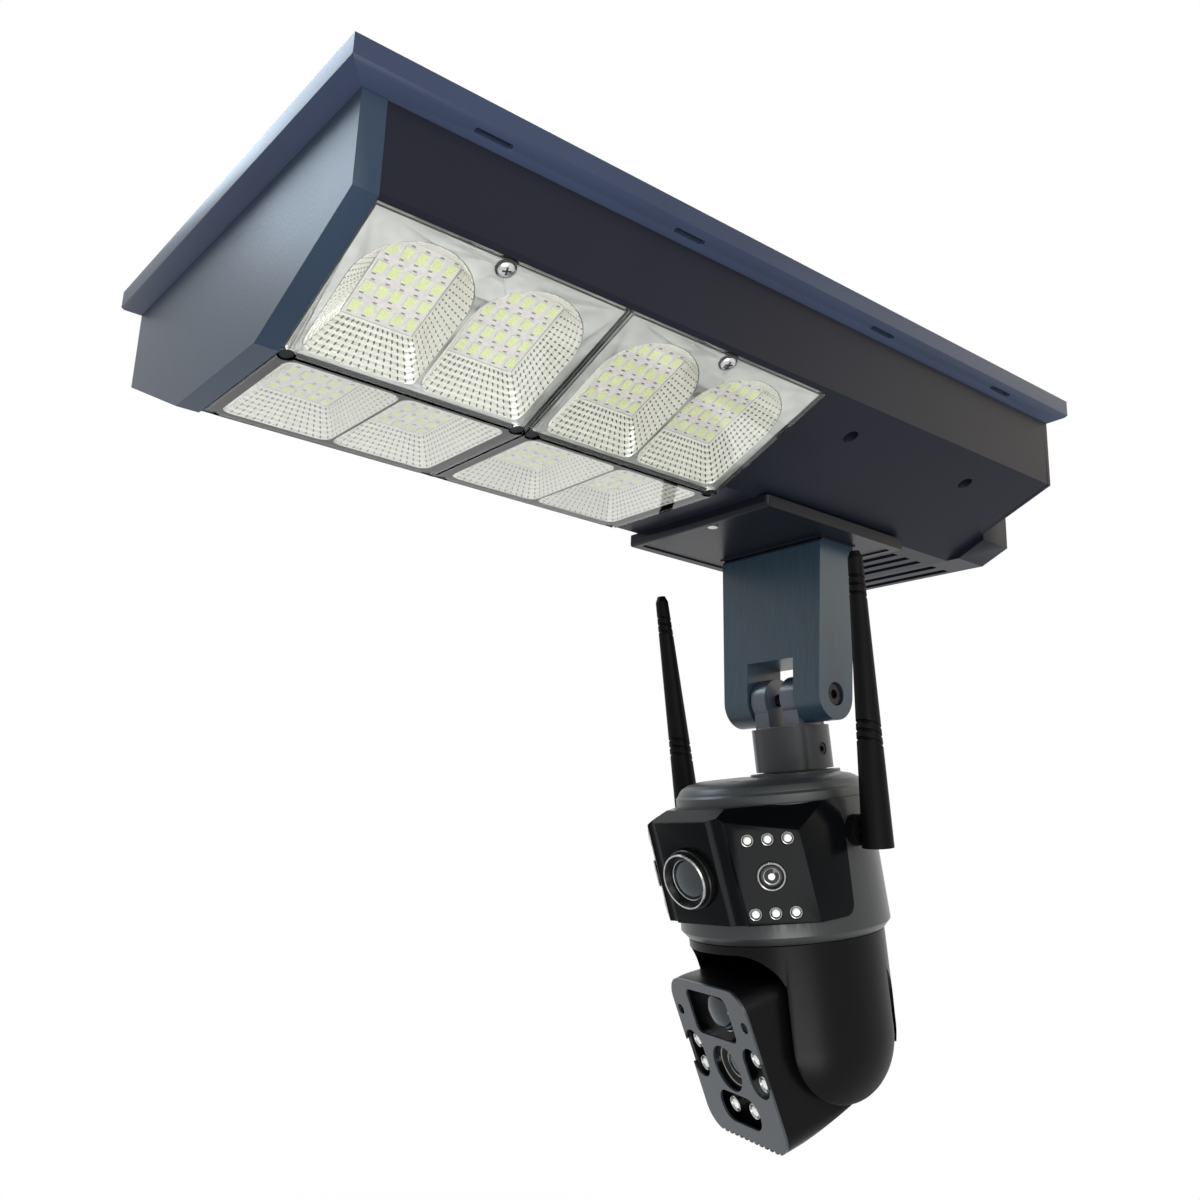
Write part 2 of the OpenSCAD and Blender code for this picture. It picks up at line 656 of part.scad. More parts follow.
module lid_screws() color([0.8, 0.8, 0.8]) in_lamp() at_lid_screws() {
    translate([0, 0, -0.6]) cylinder(r = 3.2, h = 2);
    translate([0, 0, 1.4]) cylinder(r = 1.7, h = lid_t + wall - 1.4);
}
board_x = lid_x + 14;
controller_z = -lid_z + 16.5;
module charge_controller() color([0.05, 0.35, 0.15]) in_lamp() translate([board_x, 0, controller_z]) {
    translate([0, -36, 0]) cube([52, 72, 1.6]);
    for (y = [-20, 0, 20]) translate([8, y, 1.4]) cylinder(r = 5, h = 12);
    translate([22, -28, 1.4]) cube([18, 18, 9]);
    translate([22, 4, 1.4]) cube([20, 24, 6]);
    translate([44, -30, 1.4]) cube([7, 60, 8]);
}
cell_r = 16.2;
cell_l = 70.5;
cell_z = -26;
cell_x = bay_x + 108;
cell_p = 2 * cell_r + 1;
module battery_cells() color([0.1, 0.35, 0.6]) in_lamp()
    for (i = [0, 1], j = [-1.5:1:1.5])
        translate([cell_x + i * (cell_l + 3), j * cell_p, cell_z]) rotate([0, 90, 0])
            cylinder(r = cell_r, h = cell_l);
module battery_cradle() color([0.15, 0.15, 0.16]) in_lamp() {
    l = 2 * cell_l + 3;
    z0 = cell_z - cell_r;
    difference() {
        union() {
            // end plates and the wall between the rows
            for (x = [cell_x - 3, cell_x + cell_l, cell_x + l])
                bar(x, x + 3, -2 * cell_p - 2, 2 * cell_p + 2, z0, cell_z + cell_r);
            bar(cell_x - 3, cell_x + l + 3, -2 * cell_p - 2, 2 * cell_p + 2, z0 - 2, z0);
        }
        for (j = [-1:1]) bar(cell_x, cell_x + l, j * cell_p - 3, j * cell_p + 3, z0 - 3, z0 - 0.5);
    }
    // feet that stand on the lamp frame
    for (x = [cell_x + 12, cell_x + l - 18], s = [-1, 1])
        bar(x, x + 6, s * 24 - 3, s * 24 + 3, -bay_z + frame_d + frame_t, z0 - 1.9);
}

// ---- camera bracket and pivot ----
bracket_top = -lid_z;
bracket_front = pivot_x - foot_r;
ear_low_w = bracket_low_w;
bore_sink = 7;
sink_r = 7.25;
web_z = -pivot_z + 23;
module in_pivot() translate([pivot_x, 0, -pivot_z]) children();
module camera_bracket() color([0.16, 0.22, 0.27]) in_lamp() difference() {
    intersection() {
        // side view: upright web that ends in a round foot
        translate([pivot_x, 0, -pivot_z]) along_y(2 * bracket_w) {
            circle(foot_r);
            translate([-foot_r, 0]) square([2 * foot_r, pivot_z - lid_z - 3]);
            translate([-foot_r + 3, 0]) square([2 * foot_r - 3, pivot_z - lid_z]);
            translate([-foot_r + 3, pivot_z - lid_z - 3]) circle(3);
        }
        // front view: slightly tapered
        along_x(bracket_front - over, 2 * foot_r + 2 * over) polygon([
            [-bracket_w / 2, bracket_top], [bracket_w / 2, bracket_top],
            [ear_low_w / 2, -pivot_z], [ear_low_w / 2, -pivot_z - 2 * foot_r],
            [-ear_low_w / 2, -pivot_z - 2 * foot_r], [-ear_low_w / 2, -pivot_z]]);
    }
    // hollow back
    bar(bracket_front + 5, bracket_front + 2 * foot_r + over,
        -ear_low_w / 2 + 4.5, ear_low_w / 2 - 4.5, web_z + 8, bracket_top - 6);
    // gap between the ears
    bar(bracket_front - over, bracket_front + 2 * foot_r + over,
        -ear_gap / 2, ear_gap / 2, -pivot_z - 2 * foot_r, web_z);
    in_pivot() rotate([90, 0, 0]) cylinder(r = bolt_d / 2 + run, h = 2 * bracket_w, center = true);
    for (s = [-1, 1]) translate([pivot_x, s * (ear_low_w / 2 - bore_sink), -pivot_z])
        rotate([-s * 90, 0, 0]) cylinder(r = sink_r, h = 3 * bore_sink);
    at_bracket_screws() cylinder(r = 2.5, h = 60, center = true);
}
module bracket_screws() color([0.7, 0.7, 0.72]) in_lamp() at_bracket_screws() {
    translate([0, 0, -6 - 3.5]) cylinder(r = 4.4, h = 3.5);
    translate([0, 0, -6]) cylinder(r = 2.5, h = 6 + lid_t + wall + 8);
    translate([0, 0, lid_t + wall + 1]) cylinder(r = 4.6, h = 4, $fn = 6);
}
module pivot_bolt() color([0.75, 0.75, 0.77]) in_lamp() in_pivot() {
    grip = ear_low_w / 2 - bore_sink;
    rotate([90, 0, 0]) difference() {
        union() {
            cylinder(r = bolt_d / 2, h = 2 * grip + 9, center = true);
            translate([0, 0, grip]) cylinder(r = 6.5, h = 5.5);
            translate([0, 0, -grip - 5]) cylinder(r = 6.6, h = 5, $fn = 6);
        }
        translate([0, 0, grip + 2.5]) cylinder(r = 3.2, h = 6, $fn = 6);
    }
}
lug_out = 17.9;
lug_in = 6.2;
lug_r = 14;
washer_t = ear_gap / 2 - lug_out - slip;
module pivot_washers() color([0.3, 0.3, 0.3]) in_lamp() in_pivot()
    for (s = [-1, 1]) translate([0, s * ear_gap / 2, 0]) rotate([s * 90, 0, 0]) difference() {
        cylinder(r = 10, h = washer_t);
        translate([0, 0, -over]) cylinder(r = bolt_d / 2 + run, h = washer_t + 2 * over);
    }

// ---- camera frame: origin on the pivot, Z along the leaning neck ----
module hung() in_lamp() in_pivot() rotate([0, -lean, 0]) children();
module on_axis() hung() translate([-neck_set, 0, 0]) children();
collar_low = collar_top + collar_l;
fork_t = 7;
ledge_t = 2;
post_top = collar_top + fork_t + ledge_t;
module tilt_fork() color([0.45, 0.48, 0.50]) hung() difference() {
    union() {
        for (s = [-1, 1]) translate([0, s * (lug_in + lug_out) / 2, 0]) {
            along_y(lug_out - lug_in) circle(lug_r);
            translate([0, 0, -collar_top / 2])
                cube([2 * lug_r - 4, lug_out - lug_in, collar_top], center = true);
        }
        translate([0, 0, -collar_top - fork_t]) cylinder(r = post_r, h = fork_t + 0.8);
    }
    rotate([90, 0, 0]) cylinder(r = bolt_d / 2 + run, h = 60, center = true);
}
screw_drop = post_top + 6;
set_r = 3.9;
module neck_collar() color([0.38, 0.40, 0.42]) hung() difference() {
    translate([0, 0, -collar_low]) cylinder(r = collar_r, h = collar_l);
    translate([0, 0, -collar_top - fork_t]) cylinder(r = post_r + run, h = fork_t + over);
    translate([0, 0, -collar_low - over]) cylinder(r = post_r + run, h = collar_low - post_top + over);
    translate([0, 0, -collar_low - over]) cylinder(r = post_r - 5, h = collar_l + 2 * over);
    for (s = [-1, 1]) translate([0, s * (post_r - 2), -screw_drop]) rotate([-s * 90, 0, 0])
        cylinder(r = set_r, h = 10);
}
module collar_screws() color([0.3, 0.3, 0.32]) hung()
    for (s = [-1, 1])
        translate([0, s * (post_r + run + 0.1), -screw_drop]) rotate([-s * 90, 0, 0]) difference() {
        cylinder(r = set_r, h = collar_r - post_r - 0.8);
        translate([0, 0, 1.6]) cylinder(r = 2, h = 5, $fn = 6);
    }

// ---- upper camera ----
cap_low = cap_top + cap_t;
upper_low = cap_low + upper_h;
spigot_r = 20;
wall_c = 3;
cap_at = [190, 290, 70];
module camera_cap() color([0.30, 0.31, 0.33]) {
    on_axis() translate([0, 0, -cap_low]) difference() {
        rotate_extrude() {
            polygon([[0, 0], [cap_r, 0], [cap_r, cap_t * 0.36], [cap_r - 1.5, cap_t * 0.46],
                [cap_r - 2, cap_t * 0.56], [cap_r - 4, cap_t * 0.74], [cap_r - 8, cap_t * 0.9],
                [cap_r - 14, cap_t], [0, cap_t]]);
        }
        for (a = cap_at) rotate([0, 0, a]) translate([cap_r - 19, 0, cap_t - 4])
            cylinder(r = 4.4, h = 10);
    }
    // step and post round the neck, set back from the middle
    hung() {
        translate([0, 0, 1 - cap_low]) cylinder(r = neck_set + 2, h = cap_low - collar_low - 2);
        translate([0, 0, -cap_top]) cylinder(r = post_r, h = cap_top - post_top - 0.3);
    }
}
module cap_screws() color([0.2, 0.2, 0.21]) on_axis()
    for (a = cap_at) rotate([0, 0, a])
        translate([cap_r - 19, 0, -cap_low + cap_t - 4]) cylinder(r = 4.2, h = 1.5);

block_hw = body_r - 1;
block_top = cap_low + 5;
block_low = upper_low - 13;
face_hw = 27;
// Plan of the sensor block at a setback b from its widest
function block_plan(b) = [
    [b - block_out, face_hw], [b - shoulder_out, block_hw], [-8, block_hw],
    [-8, -block_hw], [b - shoulder_out, -block_hw], [b - block_out, -face_hw]];
face_drop = 11.5;
block_out = body_r + 17.2;
shoulder_out = body_r - 12.8;
face_tilt = atan(face_drop / (block_low - block_top));
side_at = atan((block_out - shoulder_out) / (block_hw - face_hw));
side_tilt = atan(face_drop * cos(side_at) / (block_low - block_top));
// frame on the block's middle: x out of the face, for the middle and side faces
module at_face(turn, out, tilt) {
    translate([0, 0, -(block_top + block_low) / 2])
        rotate([0, 0, turn]) translate([-out, 0, 0]) rotate([0, -90 - tilt, 0]) children();
}
mid_out = block_out - face_drop / 2;
side_out = mid_out * cos(side_at) + face_hw * sin(side_at);
side_shift = 2.6;
// how far the lenses and lights sit below the faces' middles
face_low = 3.3;
lens_r = 17.4;
lens_set = 8;
block_led_r = 3.6;
scoop_r = 10;
scoop_out = 6;
scoop_x = block_out + scoop_out * cos(side_at / 2);
scoop_y = face_hw + scoop_out * sin(side_at / 2);
module at_mid_face() at_face(0, mid_out, face_tilt) translate([-face_low, 0, 0]) children();
module at_side_faces() {
    for (s = [-1, 1])
        at_face(s * side_at, side_out, side_tilt) translate([-face_low, s * side_shift, 0]) children();
}
led_p = 11.1;
led_row = 20.6;
module block_led_places() {
    at_side_faces() for (i = [-1:1], j = [-1, 1]) translate([j * led_row, i * led_p, 0]) children();
}
// Outside of the upper body, with a chamfered skirt
module upper_shape() translate([0, 0, -upper_low]) rotate_extrude()
    polygon([[0, 0], [body_r - 4, 0], [body_r, 4.5], [body_r - 3.4, upper_h], [0, upper_h]]);
module upper_body() color([0.33, 0.34, 0.36]) on_axis() difference() {
    upper_shape();
    translate([0, 0, -upper_low + 10])
        cylinder(r1 = body_r - wall_c, r2 = body_r - 3.4 - wall_c, h = upper_h - 10 - wall_c);
    translate([0, 0, -upper_low - over]) cylinder(r = spigot_r + run, h = 12 + over);
    for (s = [-1, 1]) translate([hinge_x, s * (body_r - 8), -hinge_drop]) rotate([-s * 90, 0, 0])
        cylinder(r = mount_r, h = 20);
}
// Setback of the block's faces at depth z
function setback(z) = face_drop * (z - block_top) / (block_low - block_top);
brow_z = block_top + 9;
module sensor_block() color([0.05, 0.055, 0.06]) on_axis() difference() {
    intersection() {
        hull() {
            // the brow slopes down from the cap's rim to the side faces
            translate([0, 0, -block_top - 1.5]) linear_extrude(0.1)
                polygon([for (s = [-1, 1]) [setback(block_top + 1.5) - block_out, s * face_hw], [-8, 0]]);
            translate([0, 0, -brow_z]) linear_extrude(0.1) polygon(block_plan(setback(brow_z)));
            translate([0, 0, -block_low]) linear_extrude(0.1) polygon(block_plan(face_drop));
            translate([0, 0, -cap_low - 0.2]) linear_extrude(0.1) polygon([
                [14 - block_out, face_hw - 3], [30 - shoulder_out, block_hw - 4], [-8, block_hw - 4],
                [-8, 4 - block_hw], [30 - shoulder_out, 4 - block_hw], [14 - block_out, 3 - face_hw]]);
        }
        // round lower corner at the back of each cheek
        translate([-9 - body_r, 0, -block_low + body_r]) along_y(4 * body_r)
            rounded(2 * body_r, 2 * body_r, 7);
    }
    upper_shape();
    // scooped groove along each ridge between the faces
    for (s = [-1, 1]) hull() for (z = [cap_low - 4, block_low + 4])
        translate([setback(z) - scoop_x, s * scoop_y, -z]) cylinder(r = scoop_r, h = 0.1, $fn = 32);
    at_mid_face() translate([0, 0, -lens_set]) cylinder(r = lens_r + slip, h = 40);
    at_side_faces() translate([0, 0, -6]) cylinder(r = 8.2, h = 40);
    block_led_places() translate([0, 0, -3]) cylinder(r = block_led_r + 0.1, h = 20);
    for (s = [-1, 1]) translate([hinge_x, s * (body_r - 8), -hinge_drop]) rotate([-s * 90, 0, 0])
        cylinder(r = mount_r, h = 20);
}
module front_lens() color([0.02, 0.02, 0.03]) on_axis() at_mid_face() {
    translate([0, 0, -lens_set]) difference() {
        union() {
            cylinder(r = lens_r, h = lens_set + 3.5);
            cylinder(r = lens_r - 1.2, h = lens_set + 7.5);
        }
        translate([0, 0, lens_set]) cylinder(r1 = 11.5, r2 = lens_r - 2.8, h = 7.6);
    }
    translate([0, 0, -0.5]) rotate_extrude() polygon([[0, 0], [11.5, 0], [9, 2.2], [5, 3.4], [0, 3.8]]);
}
module side_lenses() color([0.25, 0.26, 0.28]) on_axis() at_side_faces()
    translate([0, 0, -6]) difference() {
        cylinder(r = 8, h = 7.5);
        translate([0, 0, 5]) cylinder(r1 = 3.5, r2 = 7, h = 3);
    }
module block_leds() color([0.9, 0.88, 0.8]) on_axis()
    block_led_places() translate([0, 0, -3]) cylinder(r = block_led_r, h = 3.4);

// ---- antennas ----
hinge_x = 2;
hinge_drop = 80;
hinge_y = body_r + 12.5;
mount_r = 9;
pin_r = 4.5;
module antenna_mounts() color([0.04, 0.04, 0.045]) on_axis()
    for (s = [-1, 1]) translate([hinge_x, s * (body_r - 8), -hinge_drop]) rotate([-s * 90, 0, 0])
        difference() {
            cylinder(r = mount_r, h = hinge_y - body_r + 7.7 - antenna_d / 2);
            translate([0, 0, 3]) cylinder(r = pin_r + run, h = 30);
        }
antenna_low = 10;
antenna_tip = 4.2;
function antenna_r(z) =
    antenna_d / 2 - (antenna_d / 2 - antenna_tip) * (z + antenna_low) / (antenna_l + antenna_low);
module antenna(s, lean_out) color([0.05, 0.05, 0.06]) on_axis()
    translate([hinge_x, s * hinge_y, -hinge_drop]) {
    // pin that turns in the mount
    rotate([s * 90, 0, 0]) translate([0, 0, antenna_d / 2 - 3]) cylinder(r = pin_r, h = 9);
    difference() {
        rotate([-s * lean_out, 0, 0]) difference() {
            rotate_extrude() polygon([[0, -antenna_low], [antenna_d / 2, -antenna_low],
                [antenna_r(antenna_l - 4), antenna_l - 4], [antenna_tip - 1.6, antenna_l], [0, antenna_l]]);
            // three slanting grooves at a quarter of the length and near the tip
            for (f = [0.30, 0.83], i = [0:2]) translate([0, 0, antenna_l * f + 5 * i]) rotate([0, 24, 0])
                rotate_extrude() translate([antenna_r(antenna_l * f + 5 * i) - 0.5, 0]) square([9, 1.8]);
        }
        // flat cheek on the mount's side
        translate([-antenna_d, -s * (antenna_d - 0.6) - antenna_d / 2, -2 * antenna_low])
            cube([2 * antenna_d, antenna_d, 4 * antenna_low]);
    }
}
module antenna_near() antenna(-1, near_lean);
module antenna_far() antenna(1, far_lean);

// ---- panning body and lens head ----
pan_gap = 0.4;
pan_top = upper_low + pan_gap;
tilt_drop = pan_top + 55.6;
slot_hw = head_w / 2 + 6;
bowl_r = 49;
roof_t = 5;
shoulder_r = 21;
slot_h = tilt_drop - pan_top - roof_t;
module in_pan() on_axis() rotate([0, 0, -head_pan]) children();
module in_head() in_pan() translate([0, 0, -tilt_drop]) rotate([0, -head_tilt, 0]) children();
module pan_body() color([0.05, 0.055, 0.055]) in_pan() difference() {
    union() {
        translate([0, 0, -tilt_drop]) cylinder(r = pan_r, h = tilt_drop - pan_top);
        translate([0, 0, -tilt_drop]) sphere(r = pan_r);
        translate([0, 0, -pan_top]) cylinder(r = spigot_r, h = 10);
    }
    // room for the lens head to swing
    translate([0, 0, -tilt_drop]) along_y(2 * slot_hw) {
        circle(bowl_r);
        translate([-2 * pan_r, -2 * pan_r]) square([2 * pan_r, 2 * pan_r + slot_h - shoulder_r]);
        translate([-2 * pan_r, -2 * pan_r]) square([4 * pan_r, 2 * pan_r - 12]);
    }
    // round shoulders at the top of the opening
    translate([0, 0, -tilt_drop]) along_x(-2 * pan_r, 2 * pan_r) {
        translate([-slot_hw + shoulder_r, 0]) square([2 * (slot_hw - shoulder_r), slot_h]);
        for (s = [-1, 1]) translate([s * (slot_hw - shoulder_r), slot_h - shoulder_r]) circle(shoulder_r);
    }
    translate([0, 0, -tilt_drop]) rotate([90, 0, 0])
        cylinder(r = trunnion_r + run, h = 2 * slot_hw + 14, center = true);
}
module head_outline(d) rounded(head_h - 2 * d, head_w - 2 * d, 14 - d);
face_t = 1.6;
shell_back = 36.5;
rib_n = 12;
rib_p = 5.2;
module head_profile(d) {
    circle(shell_back - d);
    polygon([[0, shell_back - d], [-head_f + face_t, head_h / 2 - d],
        [-head_f + face_t, -head_h / 2 + d], [0, -shell_back + d]]);
}
module head_shell() color([0.06, 0.065, 0.07]) in_head() difference() {
    union() {
        intersection() {
            along_y(head_w) head_profile(0);
            translate([-head_f, 0, 0]) rotate([0, 90, 0]) linear_extrude(2 * head_f) head_outline(0);
        }
        rotate([90, 0, 0]) cylinder(r = trunnion_r, h = 2 * slot_hw + 12, center = true);
    }
    // hollow behind the face, with a ledge that the carrier seats on
    translate([-head_f, 0, 0]) rotate([0, 90, 0]) linear_extrude(carrier_d + 4) head_outline(4);
    intersection() {
        along_y(head_w - 16) head_profile(4);
        translate([-head_f, 0, 0]) rotate([0, 90, 0]) linear_extrude(2 * head_f) head_outline(8);
    }
    // cooling ribs under the chin
    for (i = [0:rib_n - 1])
        translate([-head_f + face_t, (i - (rib_n - 1) / 2) * rib_p, -head_h / 2 - 1])
            cube([60, 2.6, 6], center = true);
}
// places on the face: x up, y to the near side, z out of the face
module on_face() in_head() translate([-head_f, 0, 0]) rotate([0, -90, 0]) children();
slot_pts = [[0, 31.5, 29, 19], [0, -31.5, 29, 19], [-28, 0, 19, 41]];
module face_plan() difference() {
    head_outline(0);
    // window of the zoom lens
    translate([28.5, 0]) rounded(27, 44, 5);
    translate([-3.3, 0]) circle(13.6);
    for (p = slot_pts) translate([p[0], p[1]]) rounded(p[2], p[3], min(p[2], p[3]) / 2 - 0.01);
    for (s = [-1, 1]) translate([27, s * 35]) circle(3.2);
    for (i = [0:rib_n - 1])
        translate([-head_h / 2, (i - (rib_n - 1) / 2) * rib_p]) square([3, 2.6], center = true);
}
module head_face() color([0.13, 0.17, 0.19]) on_face()
    translate([0, 0, -face_t]) linear_extrude(face_t) face_plan();
carrier_d = face_t + 10.4;
led_pts = [[7, 31.5], [-7.5, 31.5], [7, -31.5], [-7.5, -31.5], [-28, 10.2], [-28, -10.2]];
module head_carrier() color([0.03, 0.03, 0.035]) on_face() translate([0, 0, -carrier_d - 4]) {
    linear_extrude(4) head_outline(4.1);
}
module zoom_lens() color([0.02, 0.02, 0.03]) on_face() translate([28.5, 0, -carrier_d]) {
    // a domed glass over the barrel
    rotate_extrude() polygon([[0, 0], [13.4, 0], [13.4, 3], [12, 5.6], [9, 8], [5, 9.3], [0, 9.8]]);
}
module head_lens() color([0.03, 0.03, 0.035]) on_face() translate([-3.3, 0, -carrier_d]) difference() {
    cylinder(r = 13.3, h = 7.5);
    translate([0, 0, 5.5]) cylinder(r1 = 6, r2 = 11, h = 2.1);
}
module head_leds() color([0.92, 0.9, 0.82]) on_face()
    for (p = led_pts) translate([p[0], p[1], -carrier_d]) cylinder(r = 4.8, h = carrier_d - 2.6);

panel_tray();
panel_glass();
solar_cells();
housing();
front_cap();
rear_plate();
pole_socket();
pole_clamp_bolts();
case_screws();
rear_screws();
led_frame();
reflectors_near();
reflectors_bottom();
reflectors_far();
led_boards_near();
led_boards_bottom();
led_boards_far();
cover_near_a();
cover_near_b();
cover_bottom_a();
cover_bottom_b();
cover_far_a();
cover_far_b();
cover_seals();
cover_screws();
ridge_screws();
service_lid();
lid_screws();
battery_cells();
battery_cradle();
charge_controller();
camera_bracket();
bracket_screws();
pivot_bolt();
pivot_washers();
button_bezel();
power_button();
tilt_fork();
neck_collar();
collar_screws();
camera_cap();
cap_screws();
upper_body();
sensor_block();
front_lens();
side_lenses();
block_leds();
antenna_mounts();
pan_body();
head_shell();
head_face();
head_carrier();
zoom_lens();
head_lens();
head_leds();
antenna_near();
antenna_far();
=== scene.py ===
import math

import bmesh
import bpy
from mathutils import Matrix, Vector


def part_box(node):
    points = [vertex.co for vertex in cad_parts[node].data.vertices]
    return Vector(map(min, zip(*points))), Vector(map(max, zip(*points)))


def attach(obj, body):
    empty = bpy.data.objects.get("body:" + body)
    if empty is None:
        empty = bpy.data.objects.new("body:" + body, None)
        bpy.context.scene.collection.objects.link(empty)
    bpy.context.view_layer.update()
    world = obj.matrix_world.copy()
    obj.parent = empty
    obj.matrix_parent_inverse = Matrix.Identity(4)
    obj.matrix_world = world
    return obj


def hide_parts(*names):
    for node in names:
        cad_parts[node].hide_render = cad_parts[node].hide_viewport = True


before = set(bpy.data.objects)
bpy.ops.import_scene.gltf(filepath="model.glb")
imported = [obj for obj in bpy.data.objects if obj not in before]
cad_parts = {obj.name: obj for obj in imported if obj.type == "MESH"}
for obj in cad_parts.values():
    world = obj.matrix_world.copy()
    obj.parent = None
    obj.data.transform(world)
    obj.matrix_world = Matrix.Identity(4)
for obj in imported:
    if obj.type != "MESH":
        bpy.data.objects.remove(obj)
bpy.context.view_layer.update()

# ---- view, floor and light ----
# The lamp is seen from below, from its lamp end. It hangs from its pole
# socket, so the pale floor lies well below the hanging camera.
view = bpy.data.cameras.new("view")
view.sensor_width = 36.0
view.lens = 34.86
view.shift_x = 0.0455
view.shift_y = -0.0154
view_object = bpy.data.objects.new("view", view)
view_place = Vector((-0.6999, -0.4979, -0.2645))
view_right = Vector((0.7937, -0.6066, 0.04625))
view_up = Vector((-0.1890, -0.1736, 0.9665))
view_back = view_right.cross(view_up)
turn = Matrix((view_right, view_up, view_back)).transposed().to_4x4()
view_object.matrix_world = Matrix.Translation(view_place) @ turn
bpy.context.scene.collection.objects.link(view_object)
bpy.context.scene.camera = view_object
bpy.context.scene.view_settings.view_transform = "Standard"

floor_size = 12.0
floor_drop = 1.0
floor_mesh = bpy.data.meshes.new("floor")
floor_bm = bmesh.new()
bmesh.ops.create_grid(floor_bm, x_segments=1, y_segments=1, size=floor_size)
bmesh.ops.translate(floor_bm, verts=floor_bm.verts, vec=(0.0, 0.0, -floor_drop))
floor_bm.to_mesh(floor_mesh)
floor_bm.free()
floor = bpy.data.objects.new("floor", floor_mesh)
bpy.context.scene.collection.objects.link(floor)


def pale_to_the_eye(tree, plain, white):
    """Plain light on the object, and a white ground where the eye, a gloss or a glass sees it."""
    path = tree.nodes.new("ShaderNodeLightPath")
    gloss = tree.nodes.new("ShaderNodeMath")
    gloss.operation = "MAXIMUM"
    seen = tree.nodes.new("ShaderNodeMath")
    seen.operation = "MAXIMUM"
    tree.links.new(path.outputs["Is Glossy Ray"], gloss.inputs[0])
    tree.links.new(path.outputs["Is Transmission Ray"], gloss.inputs[1])
    tree.links.new(path.outputs["Is Camera Ray"], seen.inputs[0])
    tree.links.new(gloss.outputs[0], seen.inputs[1])
    mix = tree.nodes.new("ShaderNodeMixShader")
    tree.links.new(seen.outputs[0], mix.inputs[0])
    tree.links.new(plain.outputs[0], mix.inputs[1])
    tree.links.new(white.outputs[0], mix.inputs[2])
    return mix


# The paint keeps the lamp's shadow under it, and gives way to the white ground further out.
floor_mat = bpy.data.materials.new("floor")
floor_mat.use_nodes = True
floor_tree = floor_mat.node_tree
floor_paint = floor_tree.nodes["Principled BSDF"]
floor_paint.inputs["Base Color"].default_value = (0.9, 0.9, 0.9, 1.0)
floor_paint.inputs["Roughness"].default_value = 0.9
floor_glow = floor_tree.nodes.new("ShaderNodeEmission")
floor_glow.inputs["Color"].default_value = (1.0, 1.0, 1.0, 1.0)
floor_mix = pale_to_the_eye(floor_tree, floor_paint, floor_glow)
floor_place = floor_tree.nodes.new("ShaderNodeTexCoord")
floor_distance = floor_tree.nodes.new("ShaderNodeVectorMath")
floor_distance.operation = "LENGTH"
floor_fade = floor_tree.nodes.new("ShaderNodeMapRange")
floor_fade.inputs["From Min"].default_value = 1.1
floor_fade.inputs["From Max"].default_value = 2.6
floor_fade.inputs["To Min"].default_value = 0.72
floor_keep = floor_tree.nodes.new("ShaderNodeMixShader")
floor_tree.links.new(floor_place.outputs["Object"], floor_distance.inputs[0])
floor_tree.links.new(floor_distance.outputs["Value"], floor_fade.inputs["Value"])
floor_tree.links.new(floor_fade.outputs["Result"], floor_keep.inputs[0])
floor_tree.links.new(floor_paint.outputs[0], floor_keep.inputs[1])
floor_tree.links.new(floor_mix.outputs[0], floor_keep.inputs[2])
floor_tree.links.new(floor_keep.outputs[0], floor_tree.nodes["Material Output"].inputs["Surface"])
floor_mesh.materials.append(floor_mat)

sky = bpy.data.worlds.new("studio")
sky.use_nodes = True
bpy.context.scene.world = sky
sky_plain = sky.node_tree.nodes["Background"]
sky_plain.inputs["Color"].default_value = (0.80, 0.86, 0.95, 1.0)
sky_plain.inputs["Strength"].default_value = 0.55
sky_white = sky.node_tree.nodes.new("ShaderNodeBackground")
sky_white.inputs["Color"].default_value = (1.0, 1.0, 1.0, 1.0)
sky_white.inputs["Strength"].default_value = 1.0
sky_mix = pale_to_the_eye(sky.node_tree, sky_plain, sky_white)
sky.node_tree.links.new(sky_mix.outputs[0], sky.node_tree.nodes["World Output"].inputs["Surface"])


def soft_light(name, place, target, size, power, colour):
    """A soft box of that width and height, turned to its target."""
    lamp = bpy.data.lights.new(name, "AREA")
    lamp.shape = "RECTANGLE"
    lamp.size = size[0]
    lamp.size_y = size[1]
    lamp.energy = power
    lamp.color = colour
    lamp_object = bpy.data.objects.new(name, lamp)
    aim = (Vector(target) - Vector(place)).to_track_quat("-Z", "Y")
    lamp_object.matrix_world = Matrix.Translation(place) @ aim.to_matrix().to_4x4()
    bpy.context.scene.collection.objects.link(lamp_object)


soft_light("window_light", (-0.95, 1.2, 1.12), (-0.5, 0.0, 0.0), (0.9, 0.6), 13.0, (0.70, 0.85, 1.0))
soft_light("room_light", (1.2, -0.95, 0.5), (0.2, -0.1, 0.0), (1.0, 0.7), 3.0, (1.0, 0.86, 0.58))
soft_light("near_light", (-0.7, -1.6, 0.3), (-0.2, 0.0, -0.1), (1.2, 0.9), 13.0, (1.0, 0.95, 0.88))
soft_light("low_light", (-0.75, -0.7, -0.92), (-0.4, 0.0, -0.05), (0.8, 0.8), 13.0, (1.0, 1.0, 1.0))


# ---- panel tray ----
# A shallow tray of moulded ABS closes the housing's top and carries the
# panel on ribs. Its lip stands out all round, with drain slots in the gutter.
def new_finish(name):
    """A material with its node tree and its shader."""
    mat = bpy.data.materials.new(name)
    mat.use_nodes = True
    return mat, mat.node_tree, mat.node_tree.nodes["Principled BSDF"]


def mottle(tree, scale, detail=2.0):
    """A cloudy pattern fixed to the object. The scale counts its clouds per metre."""
    place = tree.nodes.new("ShaderNodeTexCoord")
    noise = tree.nodes.new("ShaderNodeTexNoise")
    noise.inputs["Scale"].default_value = scale
    noise.inputs["Detail"].default_value = detail
    tree.links.new(place.outputs["Object"], noise.inputs["Vector"])
    return noise


